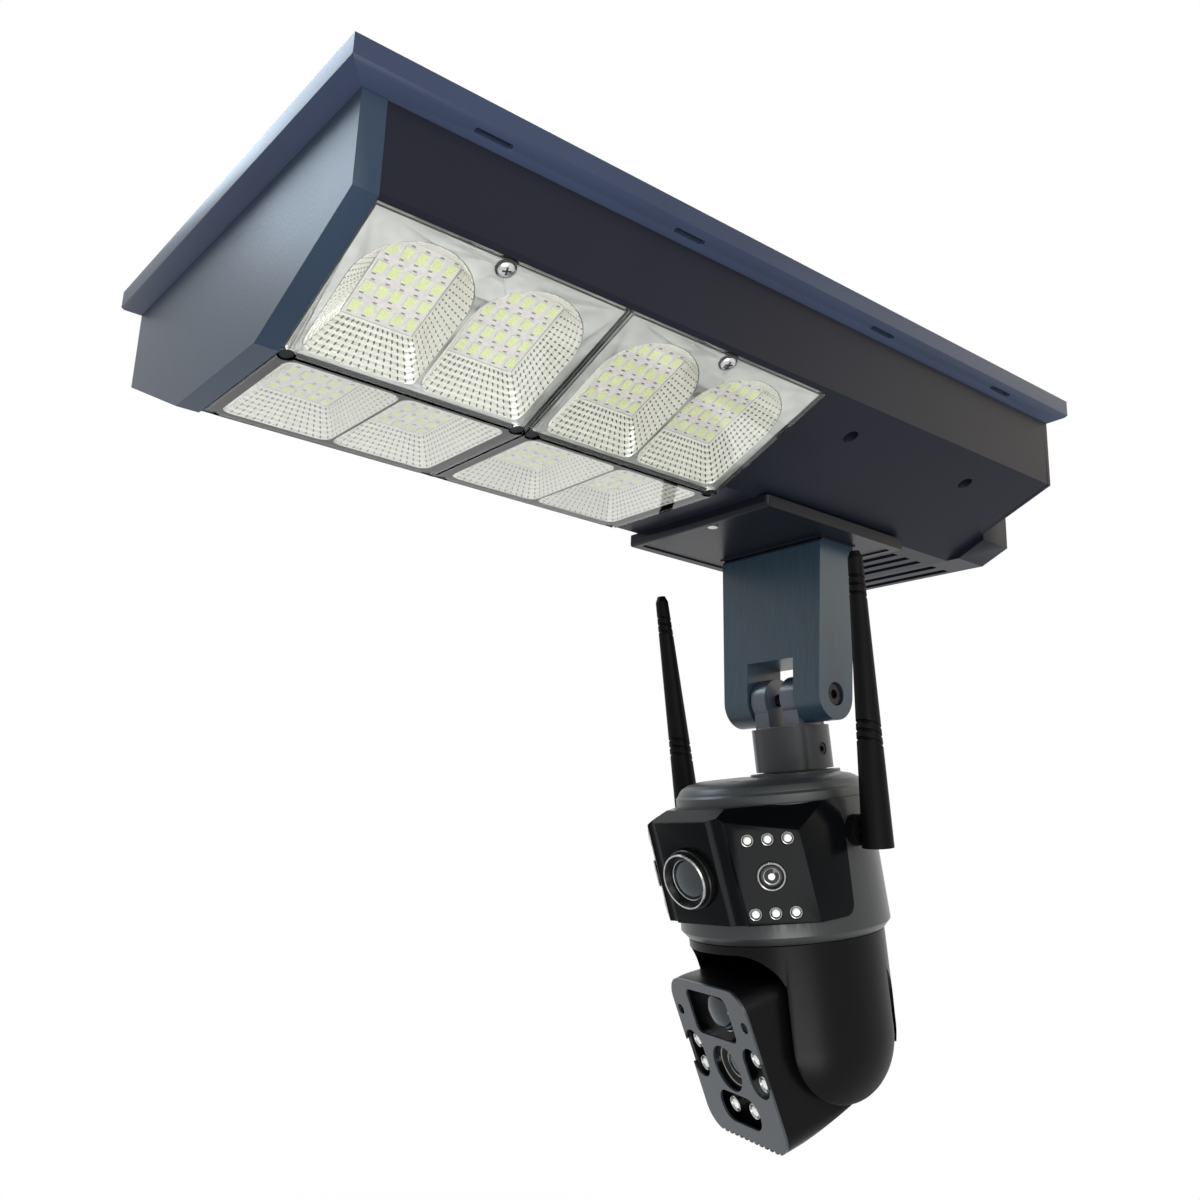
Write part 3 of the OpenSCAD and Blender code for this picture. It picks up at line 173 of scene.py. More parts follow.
def between_tones(tree, shader, driver, tones, stops):
    """The base colour runs from the first tone to the second as the driver passes the two stops."""
    ramp = tree.nodes.new("ShaderNodeValToRGB")
    for element, tone, stop in zip(ramp.color_ramp.elements, tones, stops):
        element.position = stop
        element.color = (*tone, 1.0)
    tree.links.new(driver, ramp.inputs["Fac"])
    tree.links.new(ramp.outputs["Color"], shader.inputs["Base Color"])


def roughness_between(tree, shader, driver, smoothest, roughest):
    """The roughness follows the driver from one value to the other."""
    sheen = tree.nodes.new("ShaderNodeMapRange")
    sheen.inputs["To Min"].default_value = smoothest
    sheen.inputs["To Max"].default_value = roughest
    tree.links.new(driver, sheen.inputs["Value"])
    tree.links.new(sheen.outputs["Result"], shader.inputs["Roughness"])


def grain_and_round_edges(tree, shader, driver, strength, depth, radius):
    """Raises the driver's grain on the surface, and rounds the light on sharp edges."""
    bump = tree.nodes.new("ShaderNodeBump")
    bump.inputs["Strength"].default_value = strength
    bump.inputs["Distance"].default_value = depth
    round_edge = tree.nodes.new("ShaderNodeBevel")
    round_edge.samples = 4
    round_edge.inputs["Radius"].default_value = radius
    tree.links.new(driver, bump.inputs["Height"])
    tree.links.new(round_edge.outputs["Normal"], bump.inputs["Normal"])
    tree.links.new(bump.outputs["Normal"], shader.inputs["Normal"])


def moulded(name, colour, rough, grain, depth, gloss=0.5):
    """Moulded plastic or smooth paint: a fine grain, slow changes of tone and worn edges.

    The grain is its size per metre, and its depth is in millimetres."""
    cloud = 0.12
    patch = 0.07
    mat, tree, shader = new_finish(name)
    shader.inputs["Specular IOR Level"].default_value = gloss
    fine = mottle(tree, grain, 3.0)
    slow = mottle(tree, 9.0, 4.0)
    low = [c * (1.0 - cloud) for c in colour]
    high = [min(1.0, c * (1.0 + cloud)) for c in colour]
    between_tones(tree, shader, slow.outputs["Fac"], (low, high), (0.3, 0.7))
    roughness_between(tree, shader, slow.outputs["Fac"], max(0.02, rough - patch), rough + patch)
    grain_and_round_edges(tree, shader, fine.outputs["Fac"], 0.6, depth * 0.001, 0.0004)
    return mat


def dress(node, mat):
    """Puts a finish on a CAD node."""
    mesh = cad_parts[node].data
    mesh.materials.clear()
    mesh.materials.append(mat)


def smooth_by_angle(bm, angle):
    """Smooth faces, with the edges past the angle kept sharp."""
    for face in bm.faces:
        face.smooth = True
    for edge in bm.edges:
        if len(edge.link_faces) == 2 and edge.calc_face_angle(0.0) > angle:
            edge.smooth = False


def new_piece(name, bm, mats, body):
    """Makes an object of a finished bmesh in the lamp's frame, and lets it ride on a body."""
    mesh = bpy.data.meshes.new(name)
    bm.to_mesh(mesh)
    bm.free()
    for mat in mats:
        mesh.materials.append(mat)
    piece = bpy.data.objects.new(name, mesh)
    bpy.context.scene.collection.objects.link(piece)
    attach(piece, body)
    return piece


def welded(node):
    """The CAD node's mesh with its seams closed and its flat faces whole."""
    bm = bmesh.new()
    bm.from_mesh(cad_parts[node].data)
    bmesh.ops.remove_doubles(bm, verts=bm.verts, dist=0.00002)
    bmesh.ops.dissolve_limit(
        bm, angle_limit=math.radians(0.5), use_dissolve_boundaries=False, verts=bm.verts, edges=bm.edges
    )
    return bm


def broken_edges(node, body, mat, width):
    """The CAD node with its corners broken by a bevel, as moulded and cast edges are. The width is in mm."""
    corner = math.radians(32.0)
    bm = welded(node)
    sharp = [e for e in bm.edges if len(e.link_faces) == 2 and e.calc_face_angle(0.0) > corner]
    bmesh.ops.bevel(
        bm, geom=sharp, offset=width * 0.001, offset_type="OFFSET", segments=2, profile=0.5,
        material=-1, affect="EDGES", clamp_overlap=True
    )
    smooth_by_angle(bm, math.radians(20))
    piece = new_piece(node + "_finished", bm, (mat,), body)
    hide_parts(node)


tray_plastic = moulded("tray_plastic", (0.024, 0.036, 0.072), 0.32, 900.0, 0.04, gloss=0.22)
broken_edges("panel_tray", "lamp", tray_plastic, 0.8)

# ---- solar cells ----
# Two rows of six dark blue monocrystalline cells. Silver busbars cross each
# cell, and the white back sheet shows in the gaps between them.
cells_mat, cells_tree, cells_shader = new_finish("solar_cells")
cells_shader.inputs["Roughness"].default_value = 0.3
cells_place = cells_tree.nodes.new("ShaderNodeTexCoord")
cells_split = cells_tree.nodes.new("ShaderNodeSeparateXYZ")
cells_tree.links.new(cells_place.outputs["Object"], cells_split.inputs["Vector"])


def maths(tree, operation, first, second=None):
    """One step of arithmetic on a value of the pattern."""
    step = tree.nodes.new("ShaderNodeMath")
    step.operation = operation
    for socket, value in zip(step.inputs, (first, second)):
        if hasattr(value, "node"):
            tree.links.new(value, socket)
        elif value is not None:
            socket.default_value = value
    return step.outputs[0]


def lines_along(tree, distance, start, pitch, width):
    """1 on lines of that width, a pitch apart, and 0 between them."""
    along = maths(tree, "FRACT", maths(tree, "DIVIDE", maths(tree, "SUBTRACT", distance, start), pitch))
    off_line = maths(tree, "ABSOLUTE", maths(tree, "SUBTRACT", along, 0.5))
    return maths(tree, "LESS_THAN", off_line, 0.5 * width / pitch)


def painted_over(tree, below, colour, where):
    """The colour laid over what is below it, where the pattern is 1."""
    mix = tree.nodes.new("ShaderNodeMix")
    mix.data_type = "RGBA"
    tree.links.new(where, mix.inputs["Factor"])
    if hasattr(below, "node"):
        tree.links.new(below, mix.inputs["A"])
    else:
        mix.inputs["A"].default_value = (*below, 1.0)
    mix.inputs["B"].default_value = (*colour, 1.0)
    return mix.outputs["Result"]


cells_low, cells_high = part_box("solar_cells")
cell_columns = 6
cell_rows = 2
cell_long = (cells_high[0] - cells_low[0]) / cell_columns
cell_wide = (cells_high[1] - cells_low[1]) / cell_rows
cell_busbars = 5
busbar_width = 0.0012
cell_gap = 0.0028
across = cells_split.outputs["Y"]
along = cells_split.outputs["X"]
busbar_pitch = cell_wide / cell_busbars
cell_look = painted_over(
    cells_tree, (0.004, 0.010, 0.036), (0.30, 0.31, 0.33),
    lines_along(cells_tree, across, cells_low[1] + busbar_pitch / 2, busbar_pitch, busbar_width)
)
for distance, start, pitch in ((along, cells_low[0], cell_long), (across, cells_low[1], cell_wide)):
    cell_look = painted_over(
        cells_tree, cell_look, (0.72, 0.74, 0.76),
        lines_along(cells_tree, distance, start - pitch / 2, pitch, cell_gap)
    )
cells_tree.links.new(cell_look, cells_shader.inputs["Base Color"])
dress("solar_cells", cells_mat)

# ---- panel glass ----
# One sheet of glass over the cells, with a fine stipple that keeps it from
# mirroring the sky.
panel_glass, glass_tree, glass_shader = new_finish("panel_glass")
glass_shader.inputs["Base Color"].default_value = (0.96, 0.98, 0.98, 1.0)
glass_shader.inputs["Transmission Weight"].default_value = 1.0
glass_shader.inputs["Roughness"].default_value = 0.06
glass_place = glass_tree.nodes.new("ShaderNodeTexCoord")
glass_stipple = glass_tree.nodes.new("ShaderNodeTexVoronoi")
glass_stipple.inputs["Scale"].default_value = 700.0
glass_bump = glass_tree.nodes.new("ShaderNodeBump")
glass_bump.inputs["Strength"].default_value = 0.06
glass_bump.inputs["Distance"].default_value = 0.0001
glass_tree.links.new(glass_place.outputs["Object"], glass_stipple.inputs["Vector"])
glass_tree.links.new(glass_stipple.outputs["Distance"], glass_bump.inputs["Height"])
glass_tree.links.new(glass_bump.outputs["Normal"], glass_shader.inputs["Normal"])
dress("panel_glass", panel_glass)

# ---- housing ----
# The long trough of dark blue ABS that everything else is fixed to. Its own
# mesh is kept, and its edges are rounded in the finish.
housing_plastic = moulded("housing_plastic", (0.011, 0.012, 0.019), 0.34, 1400.0, 0.03, gloss=0.08)
dress("housing", housing_plastic)

# ---- front cap ----
# The moulded cap that closes the housing's lamp end, in a coarser and
# lighter blue grain. Its corners are broken by a bevel.
cap_plastic = moulded("cap_plastic", (0.017, 0.033, 0.058), 0.36, 650.0, 0.10, gloss=0.22)
broken_edges("front_cap", "lamp", cap_plastic, 0.9)

# ---- rear plate ----
# The plate at the pole's end, of the housing's own plastic, with a hole for
# the pole socket's tube and one for the button.
broken_edges("rear_plate", "lamp", housing_plastic, 0.6)

# ---- service lid ----
# A flat lid in the belly, under the charge controller, that also carries the
# camera's bracket. Its plastic is darker than the housing's.
lid_plastic = moulded("lid_plastic", (0.007, 0.008, 0.012), 0.30, 1400.0, 0.03, gloss=0.12)
broken_edges("service_lid", "lamp", lid_plastic, 0.5)

# ---- pole socket ----
# A finned aluminium casting behind the rear plate takes the end of the pole.
# Its dark paint is smooth, and its corners are broken by a bevel.
cast_paint = moulded("cast_paint", (0.008, 0.010, 0.015), 0.36, 1100.0, 0.05, gloss=0.14)
broken_edges("pole_socket", "lamp", cast_paint, 0.5)

# ---- clamp bolts and zinc-plated screws ----
# Two bolts clamp the pole in its socket. They and the screws of the rear plate
# and the lid are plated steel, with turning marks from a fine noise.
def turned_metal(name, colour, rough, metal=1.0, gloss=0.5):
    """Plated steel or bare metal, with fine turning marks and a little tarnish."""
    streak = 0.25
    mat, tree, shader = new_finish(name)
    shader.inputs["Metallic"].default_value = metal
    shader.inputs["Specular IOR Level"].default_value = gloss
    marks = mottle(tree, 1800.0)
    tarnish = mottle(tree, 260.0)
    worn = [c * (1 - streak) for c in colour]
    between_tones(tree, shader, tarnish.outputs["Fac"], (worn, colour), (0.35, 0.6))
    roughness_between(tree, shader, marks.outputs["Fac"], max(0.03, rough - 0.08), rough + 0.12)
    return mat


zinc = turned_metal("zinc_plate", (0.62, 0.62, 0.60), 0.28)
for node in ("pole_clamp_bolts", "rear_screws", "lid_screws"):
    dress(node, zinc)

# ---- case screws ----
# Steel screws with a black oxide finish, at the bottom of round recesses in
# the housing's slopes.
black_oxide = turned_metal("black_oxide", (0.015, 0.015, 0.017), 0.35, metal=0.6, gloss=0.3)
dress("case_screws", black_oxide)

# ---- power button ----
# A rubber-capped push button in a pressed bezel beside the pole socket.
# It travels inwards along its own axis.
dress("button_bezel", turned_metal("bezel_plate", (0.50, 0.50, 0.50), 0.25))
button_rubber = moulded("button_rubber", (0.012, 0.012, 0.013), 0.5, 1600.0, 0.02)
broken_edges("power_button", "power_button", button_rubber, 0.5)

# ---- LED boards ----
# Twelve pale circuit boards, one at the bottom of each reflector cup. Each
# carries rows of yellow phosphor chips in white frames, with dark solder pads.
millimetre = 0.001
lamp_origin = Matrix.Translation((-0.528, 0.0, 0.0385))
slope = math.radians(24.2)
half_width = 129.4
bay_depth = 81.2
cover_thick = 3.0
ridge_half = half_width - (bay_depth - 43.0) / math.tan(slope)
slope_length = (half_width - ridge_half) / math.cos(slope)
flat_width = 2 * ridge_half
cover_start = (12.3, 149.1)
cover_length = 135.6
near_face = lamp_origin @ Matrix.Scale(millimetre, 4) @ Matrix.Translation((0, -ridge_half, -bay_depth))
near_face = near_face @ Matrix.Rotation(math.pi - slope, 4, "X")
floor_face = lamp_origin @ Matrix.Scale(millimetre, 4) @ Matrix.Translation((0, ridge_half, -bay_depth))
floor_face = floor_face @ Matrix.Rotation(math.pi, 4, "X")
far_face = Matrix.Scale(-1, 4, (0, 1, 0)) @ near_face
rows = {"near": (near_face, True), "bottom": (floor_face, False), "far": (far_face, True)}

board_depth = 15.5
board_width = 37.0
board_height = 47.0
slope_top = slope_length - 3.8
mouth_low = 4.9
mouth_top = slope_top - 8.1
mouth_width = 60.0
mouth_middle = (mouth_width + 1.4) / 2
board_shift = 2.2


def board_middle(arched):
    """How far up its cover the boards' middle lies, in millimetres."""
    return (mouth_low + mouth_top) / 2 + 3.6 if arched else flat_width / 2


def plain_finish(name, colour, rough, metal=0.0, speck=0.06, grain=400.0):
    """One colour with a slight mottling, for small moulded or printed parts."""
    mat, tree, shader = new_finish(name)
    shader.inputs["Metallic"].default_value = metal
    shader.inputs["Roughness"].default_value = rough
    noise = mottle(tree, grain)
    dull = [c * (1 - speck) for c in colour]
    clean = [min(1.0, c * (1 + speck)) for c in colour]
    between_tones(tree, shader, noise.outputs["Fac"], (dull, clean), (0.35, 0.65))
    return mat


solder_mask = plain_finish("board_white", (0.86, 0.80, 0.78), 0.45)
phosphor = plain_finish("phosphor", (0.84, 0.90, 0.46), 0.5, speck=0.10, grain=1500.0)
chip_white = plain_finish("chip_frame", (0.92, 0.92, 0.86), 0.4)
solder = plain_finish("solder_pad", (0.30, 0.27, 0.23), 0.35, metal=0.6)


def add_block(bm, size, middle, finish):
    """A plain block of that size about its middle, in one finish."""
    verts = bmesh.ops.create_cube(bm, size=1.0)["verts"]
    bmesh.ops.scale(bm, verts=verts, vec=size)
    bmesh.ops.translate(bm, verts=verts, vec=middle)
    faces = {f for v in verts for f in v.link_faces}
    for face in faces:
        face.material_index = finish
    return verts, faces


def add_chip(bm, spot):
    """One LED: a white frame, a sunken yellow phosphor, and a solder pad at each end."""
    faces = add_block(bm, (5.0, 6.6, 0.7), spot, 2)[1]
    top = max(faces, key=lambda f: f.calc_center_median().z)
    bmesh.ops.inset_individual(bm, faces=[top], thickness=0.35, depth=0.0)
    bmesh.ops.inset_individual(bm, faces=[top], thickness=0.1, depth=-0.15)
    top.material_index = 1
    for end in (-1, 1):
        add_block(bm, (2.0, 0.8, 0.2), spot + Vector((end * 0.6, end * 4.3, -0.3)), 3)


def led_boards(row):
    """The four boards of one row, with five by four chips on each."""
    face, arched = rows[row]
    bm = bmesh.new()
    columns = 5
    lines = 4
    board_thick = 1.6
    chip_lift = 0.35
    pitch = (board_width / 5.07, board_height / 4.05)
    for start in cover_start:
        for side in (-1, 1):
            middle = Vector((
                start + cover_length / 2 + side * (mouth_middle - board_shift),
                board_middle(arched),
                -board_depth - board_thick / 2,
            ))
            add_block(bm, (board_width, board_height, board_thick), middle, 0)
            for i in range(columns):
                for j in range(lines):
                    spot = middle + Vector((
                        (i - (columns - 1) / 2) * pitch[0],
                        (j - (lines - 1) / 2) * pitch[1],
                        board_thick / 2 + chip_lift,
                    ))
                    add_chip(bm, spot)
    bmesh.ops.transform(bm, matrix=face, verts=bm.verts)
    bmesh.ops.recalc_face_normals(bm, faces=bm.faces)
    piece = new_piece("boards_" + row, bm, (solder_mask, phosphor, chip_white, solder), "lamp")
    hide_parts("led_boards_" + row)


for row in rows:
    led_boards(row)

# ---- reflectors ----
# Metallised plastic trays behind the covers, two cups to a cover. Each cup
# narrows from its mouth to its LED board, and its wall is lined with pillows.
silver = plain_finish("metallised", (0.86, 0.86, 0.82), 0.25, metal=0.6, speck=0.08, grain=90.0)
pearl = plain_finish("pillow", (0.95, 0.93, 0.85), 0.22, metal=0.2, speck=0.04, grain=700.0)
# painted shade: a dark finish for the strips beside each pillow, standing in for the shade between the
# pillows
pillow_shade_paint = plain_finish("pillow_painted_shade", (0.10, 0.09, 0.07), 0.4, metal=0.3)
pillow_pitch = 4.2
pillow_rings = 7
pillow_share = 0.68
wall_shares = [(k + part) / pillow_rings for k in range(pillow_rings) for part in (0.0, pillow_share)]
wall_shares.append(1.0)
wall_gap = 0.35
rim_drop = 0.3
window_gap = 0.75


def arc(middle, radius, start, end, steps):
    """Points of an arc from one angle to another."""
    return [
        Vector((
            middle[0] + radius * math.cos(start + (end - start) * i / steps),
            middle[1] + radius * math.sin(start + (end - start) * i / steps),
        ))
        for i in range(steps + 1)
    ]


def mouth_outline(arched):
    """The mouth of a cup: round corners at the ridge, and a half circle at the outer end of a slope."""
    half = mouth_width / 2 - wall_gap
    low = mouth_low + wall_gap
    corner = 6.0
    quarter = math.pi / 2
    outline = arc((-half + corner, low + corner), corner, 2 * quarter, 3 * quarter, 6)
    outline += arc((half - corner, low + corner), corner, 3 * quarter, 4 * quarter, 6)
    if arched:
        outline += arc((0.0, mouth_top - mouth_width / 2), half, 0.0, 2 * quarter, 28)
    else:
        top = flat_width - mouth_low - wall_gap - corner
        outline += arc((half - corner, top), corner, 0.0, quarter, 6)
        outline += arc((-half + corner, top), corner, quarter, 2 * quarter, 6)
    return outline


def evenly(outline, pitch):
    """The closed outline in equal steps of about the pitch, from its first point."""
    points = outline + [outline[0]]
    lengths = [(b - a).length for a, b in zip(points, points[1:])]
    count = round(sum(lengths) / pitch)
    step = sum(lengths) / count
    even = []
    walked = 0.0
    k = 0
    for i in range(count):
        while walked + lengths[k] < i * step:
            walked += lengths[k]
            k += 1
        even.append(points[k].lerp(points[k + 1], (i * step - walked) / max(lengths[k], 1e-9)))
    return even


def board_window(rim, centre):
    """The cup's lower opening round the board: each rim point is sent towards it from the board's middle."""
    half = Vector((board_width / 2 + window_gap - wall_gap, board_height / 2 + window_gap - wall_gap))
    window = []
    for point in rim:
        away = point - centre
        window.append(centre + away / max(abs(away.x) / half.x, abs(away.y) / half.y))
    return window


def pillow(bm, cells, bridges):
    """Raises a pillow on every cell, and paints shade on the flat strips along its upright sides."""
    for face in cells + bridges:
        face.normal_update()
    bmesh.ops.reverse_faces(bm, faces=[f for f in cells + bridges if f.normal.z < 0])
    made = bmesh.ops.inset_individual(bm, faces=cells, thickness=0.62, depth=0.0)
    # painted shade: the flat strips on each pillow's upright sides take the dark finish
    upright = 0.6
    for face in made["faces"]:
        levels = [v.co.z for v in face.verts]
        if max(levels) - min(levels) > upright:
            face.material_index = 1
    bmesh.ops.inset_individual(bm, faces=cells, thickness=0.25, depth=0.4)
    bmesh.ops.inset_individual(bm, faces=cells, thickness=0.5, depth=0.25)


def lining(row):
    """The pillows on the walls of one row's four cups."""
    face, arched = rows[row]
    bm = bmesh.new()
    rim = evenly(mouth_outline(arched), pillow_pitch)
    for start in cover_start:
        for side in (-1, 1):
            middle = start + cover_length / 2 + side * mouth_middle
            window = board_window(rim, Vector((-side * board_shift, board_middle(arched))))
            rings = []
            for share in wall_shares:
                level = -cover_thick - rim_drop + share * (cover_thick + rim_drop - board_depth)
                rings.append([
                    bm.verts.new((middle + p.x, p.y, level))
                    for p in (a.lerp(b, share) for a, b in zip(rim, window))
                ])
            cells = []
            bridges = []
            for k, (upper, lower) in enumerate(zip(rings, rings[1:])):
                for i in range(len(rim)):
                    n = (i + 1) % len(rim)
                    band = bridges if k % 2 else cells
                    band.append(bm.faces.new((upper[i], upper[n], lower[n], lower[i])))
            pillow(bm, cells, bridges)
    bmesh.ops.transform(bm, matrix=face, verts=bm.verts)
    if row == "far":
        bmesh.ops.reverse_faces(bm, faces=bm.faces)
    smooth_by_angle(bm, math.radians(35))
    new_piece("pillows_" + row, bm, (pearl, pillow_shade_paint), "lamp")


for row in rows:
    dress("reflectors_" + row, silver)
    lining(row)

# ---- lens covers ----
# Six clear polycarbonate plates over the reflectors. One screw holds each of
# the slopes' four, and ridge screws in the notches at the corners hold all six.
clear, _, clear_shader = new_finish("clear_polycarbonate")
clear_shader.inputs["Base Color"].default_value = (0.97, 0.99, 0.98, 1.0)
clear_shader.inputs["Transmission Weight"].default_value = 1.0
clear_shader.inputs["Roughness"].default_value = 0.03
clear_shader.inputs["IOR"].default_value = 1.49
for row in rows:
    for column in "ab":
        dress("cover_" + row + "_" + column, clear)

# ---- cover seals ----
# A narrow strip of dark foam under the rim of each cover keeps the rain out.
# It shows as a thin line round the clear plates.
foam = plain_finish("seal_foam", (0.045, 0.048, 0.042), 0.8, speck=0.3, grain=1500.0)
dress("cover_seals", foam)

# ---- LED frame ----
# The grey moulded frame behind the covers, with a stepped pocket for each
# reflector and its boards.
dress("led_frame", plain_finish("frame_grey", (0.30, 0.30, 0.27), 0.5, speck=0.1, grain=300.0))

# ---- ridge screws ----
# Black screws in the notches along the two ridges, where the covers' corners
# meet, with the case screws' finish.
dress("ridge_screws", black_oxide)

# ---- cover screws ----
# Four stainless pan-head screws with a cross recess, turned as rings, each on
# a black rubber washer in its slope cover.
def round_parts(node, behind):
    """Each round part of a CAD node, as a frame on its outer end with Z outwards.

    behind is a point inside what carries them, and tells each outer end from its inner one."""
    round_corners = 12
    bm = welded(node)
    places = []
    left = set(bm.faces)
    while left:
        part = [left.pop()]
        for face in part:
            for other in {f for edge in face.edges for f in edge.link_faces} & left:
                left.discard(other)
                part.append(other)
        ends = [f for f in part if len(f.verts) > round_corners]
        back = min(ends, key=lambda f: (f.calc_center_median() - behind).length)
        middle = sum((v.co for v in back.verts), Vector()) / len(back.verts)
        axis = -back.normal
        height = max((v.co - middle).dot(axis) for f in part for v in f.verts)
        place = axis.to_track_quat("Z", "Y").to_matrix().to_4x4()
        place.translation = middle + axis * height
        places.append(place @ Matrix.Scale(millimetre, 4))
    bm.free()
    return sorted(places, key=lambda place: tuple(round(t, 5) for t in place.translation))


def turn_on_lathe(bm, bands, place, steps=40):
    """Spins bands of (material, outline) about Z. An outline's points are (radius, height) in millimetres."""
    made = []
    for finish, outline in bands:
        before = set(bm.faces)
        points = [bm.verts.new((radius, 0.0, height)) for radius, height in outline]
        lines = [bm.edges.new(pair) for pair in zip(points, points[1:])]
        bmesh.ops.spin(
            bm, geom=points + lines, axis=(0.0, 0.0, 1.0), cent=(0.0, 0.0, 0.0), dvec=(0.0, 0.0, 0.0),
            angle=2 * math.pi, steps=steps, use_merge=True, use_normal_flip=False, use_duplicate=False
        )
        for face in set(bm.faces) - before:
            face.material_index = finish
            made.append(face)
    verts = list({v for face in made for v in face.verts})
    bmesh.ops.remove_doubles(bm, verts=verts, dist=0.001)
    made = [face for face in made if face.is_valid]
    bmesh.ops.recalc_face_normals(bm, faces=made)
    bmesh.ops.transform(bm, matrix=place, verts=list({v for face in made for v in face.verts}))


def lathed_set(name, node, behind, bands, mats, body):
    """Puts the same turned part in each of the node's places, and stands it for the node."""
    bm = bmesh.new()
    for place in round_parts(node, behind):
        turn_on_lathe(bm, bands, place)
    smooth_by_angle(bm, math.radians(32))
    piece = new_piece(name, bm, mats, body)
    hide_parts(node)


def middle_of(node):
    """The middle of a CAD node's box."""
    low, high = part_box(node)
    return (Vector(low) + Vector(high)) / 2


stainless = turned_metal("stainless", (0.66, 0.66, 0.64), 0.22)
rubber = plain_finish("washer_rubber", (0.010, 0.010, 0.010), 0.6)
cross_turn = 0.35
screw_bm = bmesh.new()
for place in round_parts("cover_screws", middle_of("housing")):
    turn_on_lathe(
        screw_bm,
        [
            (1, [(0, -4.0), (4.9, -4.0), (4.9, -2.2), (4.2, -1.9)]),
            (0, [(4.2, -1.9), (4.0, -1.0), (3.2, -0.35), (1.9, -0.05), (0, 0)]),
        ],
        place, 28
    )
    for slot_turn in (cross_turn, cross_turn + math.pi / 2):
        verts = add_block(screw_bm, (4.2, 0.9, 0.5), (0.0, 0.0, -0.2), 1)[0]
        bmesh.ops.rotate(screw_bm, verts=verts, matrix=Matrix.Rotation(slot_turn, 3, "Z"))
        bmesh.ops.transform(screw_bm, matrix=place, verts=verts)
smooth_by_angle(screw_bm, math.radians(32))
screw_piece = new_piece("cover_screw_heads", screw_bm, (stainless, rubber), "lamp")
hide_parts("cover_screws")

# ---- battery ----
# Eight round cells in two banks of four, in blue sleeves. They lie in a black
# moulded cradle in the housing, over the reflectors.
cell_sleeve = plain_finish("cell_sleeve", (0.06, 0.16, 0.42), 0.35, speck=0.1, grain=120.0)
dress("battery_cells", cell_sleeve)
dress("battery_cradle", moulded("cradle_plastic", (0.03, 0.03, 0.032), 0.5, 900.0, 0.03))

# ---- charge controller ----
# The green circuit board above the lid that charges the cells from the panel,
# with its capacitors and terminals.
circuit_green = plain_finish("circuit_green", (0.015, 0.10, 0.035), 0.35, speck=0.3, grain=500.0)
dress("charge_controller", circuit_green)

# ---- camera bracket ----
# A painted steel channel screwed to the lid. Its two lugs hold the pivot
# bolt, and its paint shows faint upright brushing, from a stretched noise.
bracket_paint, paint_tree, paint_shader = new_finish("bracket_paint")
paint_shader.inputs["Specular IOR Level"].default_value = 0.45
paint_brushed = mottle(paint_tree, 1400.0)
paint_stretch = paint_tree.nodes.new("ShaderNodeMapping")
paint_stretch.inputs["Scale"].default_value = (1.0, 1.0, 0.04)
paint_tree.links.new(paint_brushed.inputs["Vector"].links[0].from_socket, paint_stretch.inputs["Vector"])
paint_tree.links.new(paint_stretch.outputs["Vector"], paint_brushed.inputs["Vector"])
paint_driver = paint_brushed.outputs["Fac"]
paint_tones = ((0.012, 0.026, 0.040), (0.022, 0.046, 0.066))
between_tones(paint_tree, paint_shader, paint_driver, paint_tones, (0.25, 0.75))
roughness_between(paint_tree, paint_shader, paint_driver, 0.26, 0.42)
grain_and_round_edges(paint_tree, paint_shader, paint_driver, 0.35, 0.00003, 0.0006)
broken_edges("camera_bracket", "lamp", bracket_paint, 0.7)

# ---- bracket screws ----
# Four zinc-plated screws that hold the bracket's top to the lid. Their finish
# is that of the clamp bolts.
dress("bracket_screws", zinc)

# ---- pivot bolt and washers ----
# The black bolt that the fork tilts on, sunk in the lugs, with a black washer
# on each side of the fork.
dress("pivot_bolt", black_oxide)
dress("pivot_washers", plain_finish("washer_black", (0.012, 0.012, 0.013), 0.5))

# ---- tilt fork ----
# A fork in smooth blue-grey paint that tilts between the bracket's lugs. Its
# corners are broken by a bevel.
fork_paint = moulded("fork_paint", (0.046, 0.056, 0.076), 0.30, 1300.0, 0.02, gloss=0.6)
broken_edges("tilt_fork", "neck", fork_paint, 0.5)

# ---- neck collar ----
# The dark painted collar under the fork, which lets the camera turn. A black
# set screw on each side locks it.
collar_paint = moulded("collar_paint", (0.013, 0.015, 0.018), 0.32, 1100.0, 0.03, gloss=0.4)
broken_edges("neck_collar", "neck", collar_paint, 0.5)
dress("collar_screws", black_oxide)

# ---- camera cap ----
# A domed cap of dark grey ABS, with three black screws in round recesses and
# a post that turns in the collar.
camera_grey = moulded("camera_grey", (0.024, 0.027, 0.028), 0.36, 1200.0, 0.04, gloss=0.42)
broken_edges("camera_cap", "camera", camera_grey, 0.5)
dress("cap_screws", black_oxide)

# ---- upper body ----
# The camera's fixed shell with its chamfered skirt, of a darker grey ABS than
# the cap.
skirt_grey = moulded("skirt_grey", (0.018, 0.020, 0.020), 0.32, 1200.0, 0.04, gloss=0.45)
broken_edges("upper_body", "camera", skirt_grey, 0.5)

# ---- sensor block ----
# Black block with a sloping brow on the body's front. A big fixed lens sits in
# its front face, and a smaller one in each side face.
gloss_black = moulded("gloss_black", (0.0025, 0.003, 0.0035), 0.22, 1500.0, 0.01, gloss=0.05)
broken_edges("sensor_block", "camera", gloss_black, 0.8)
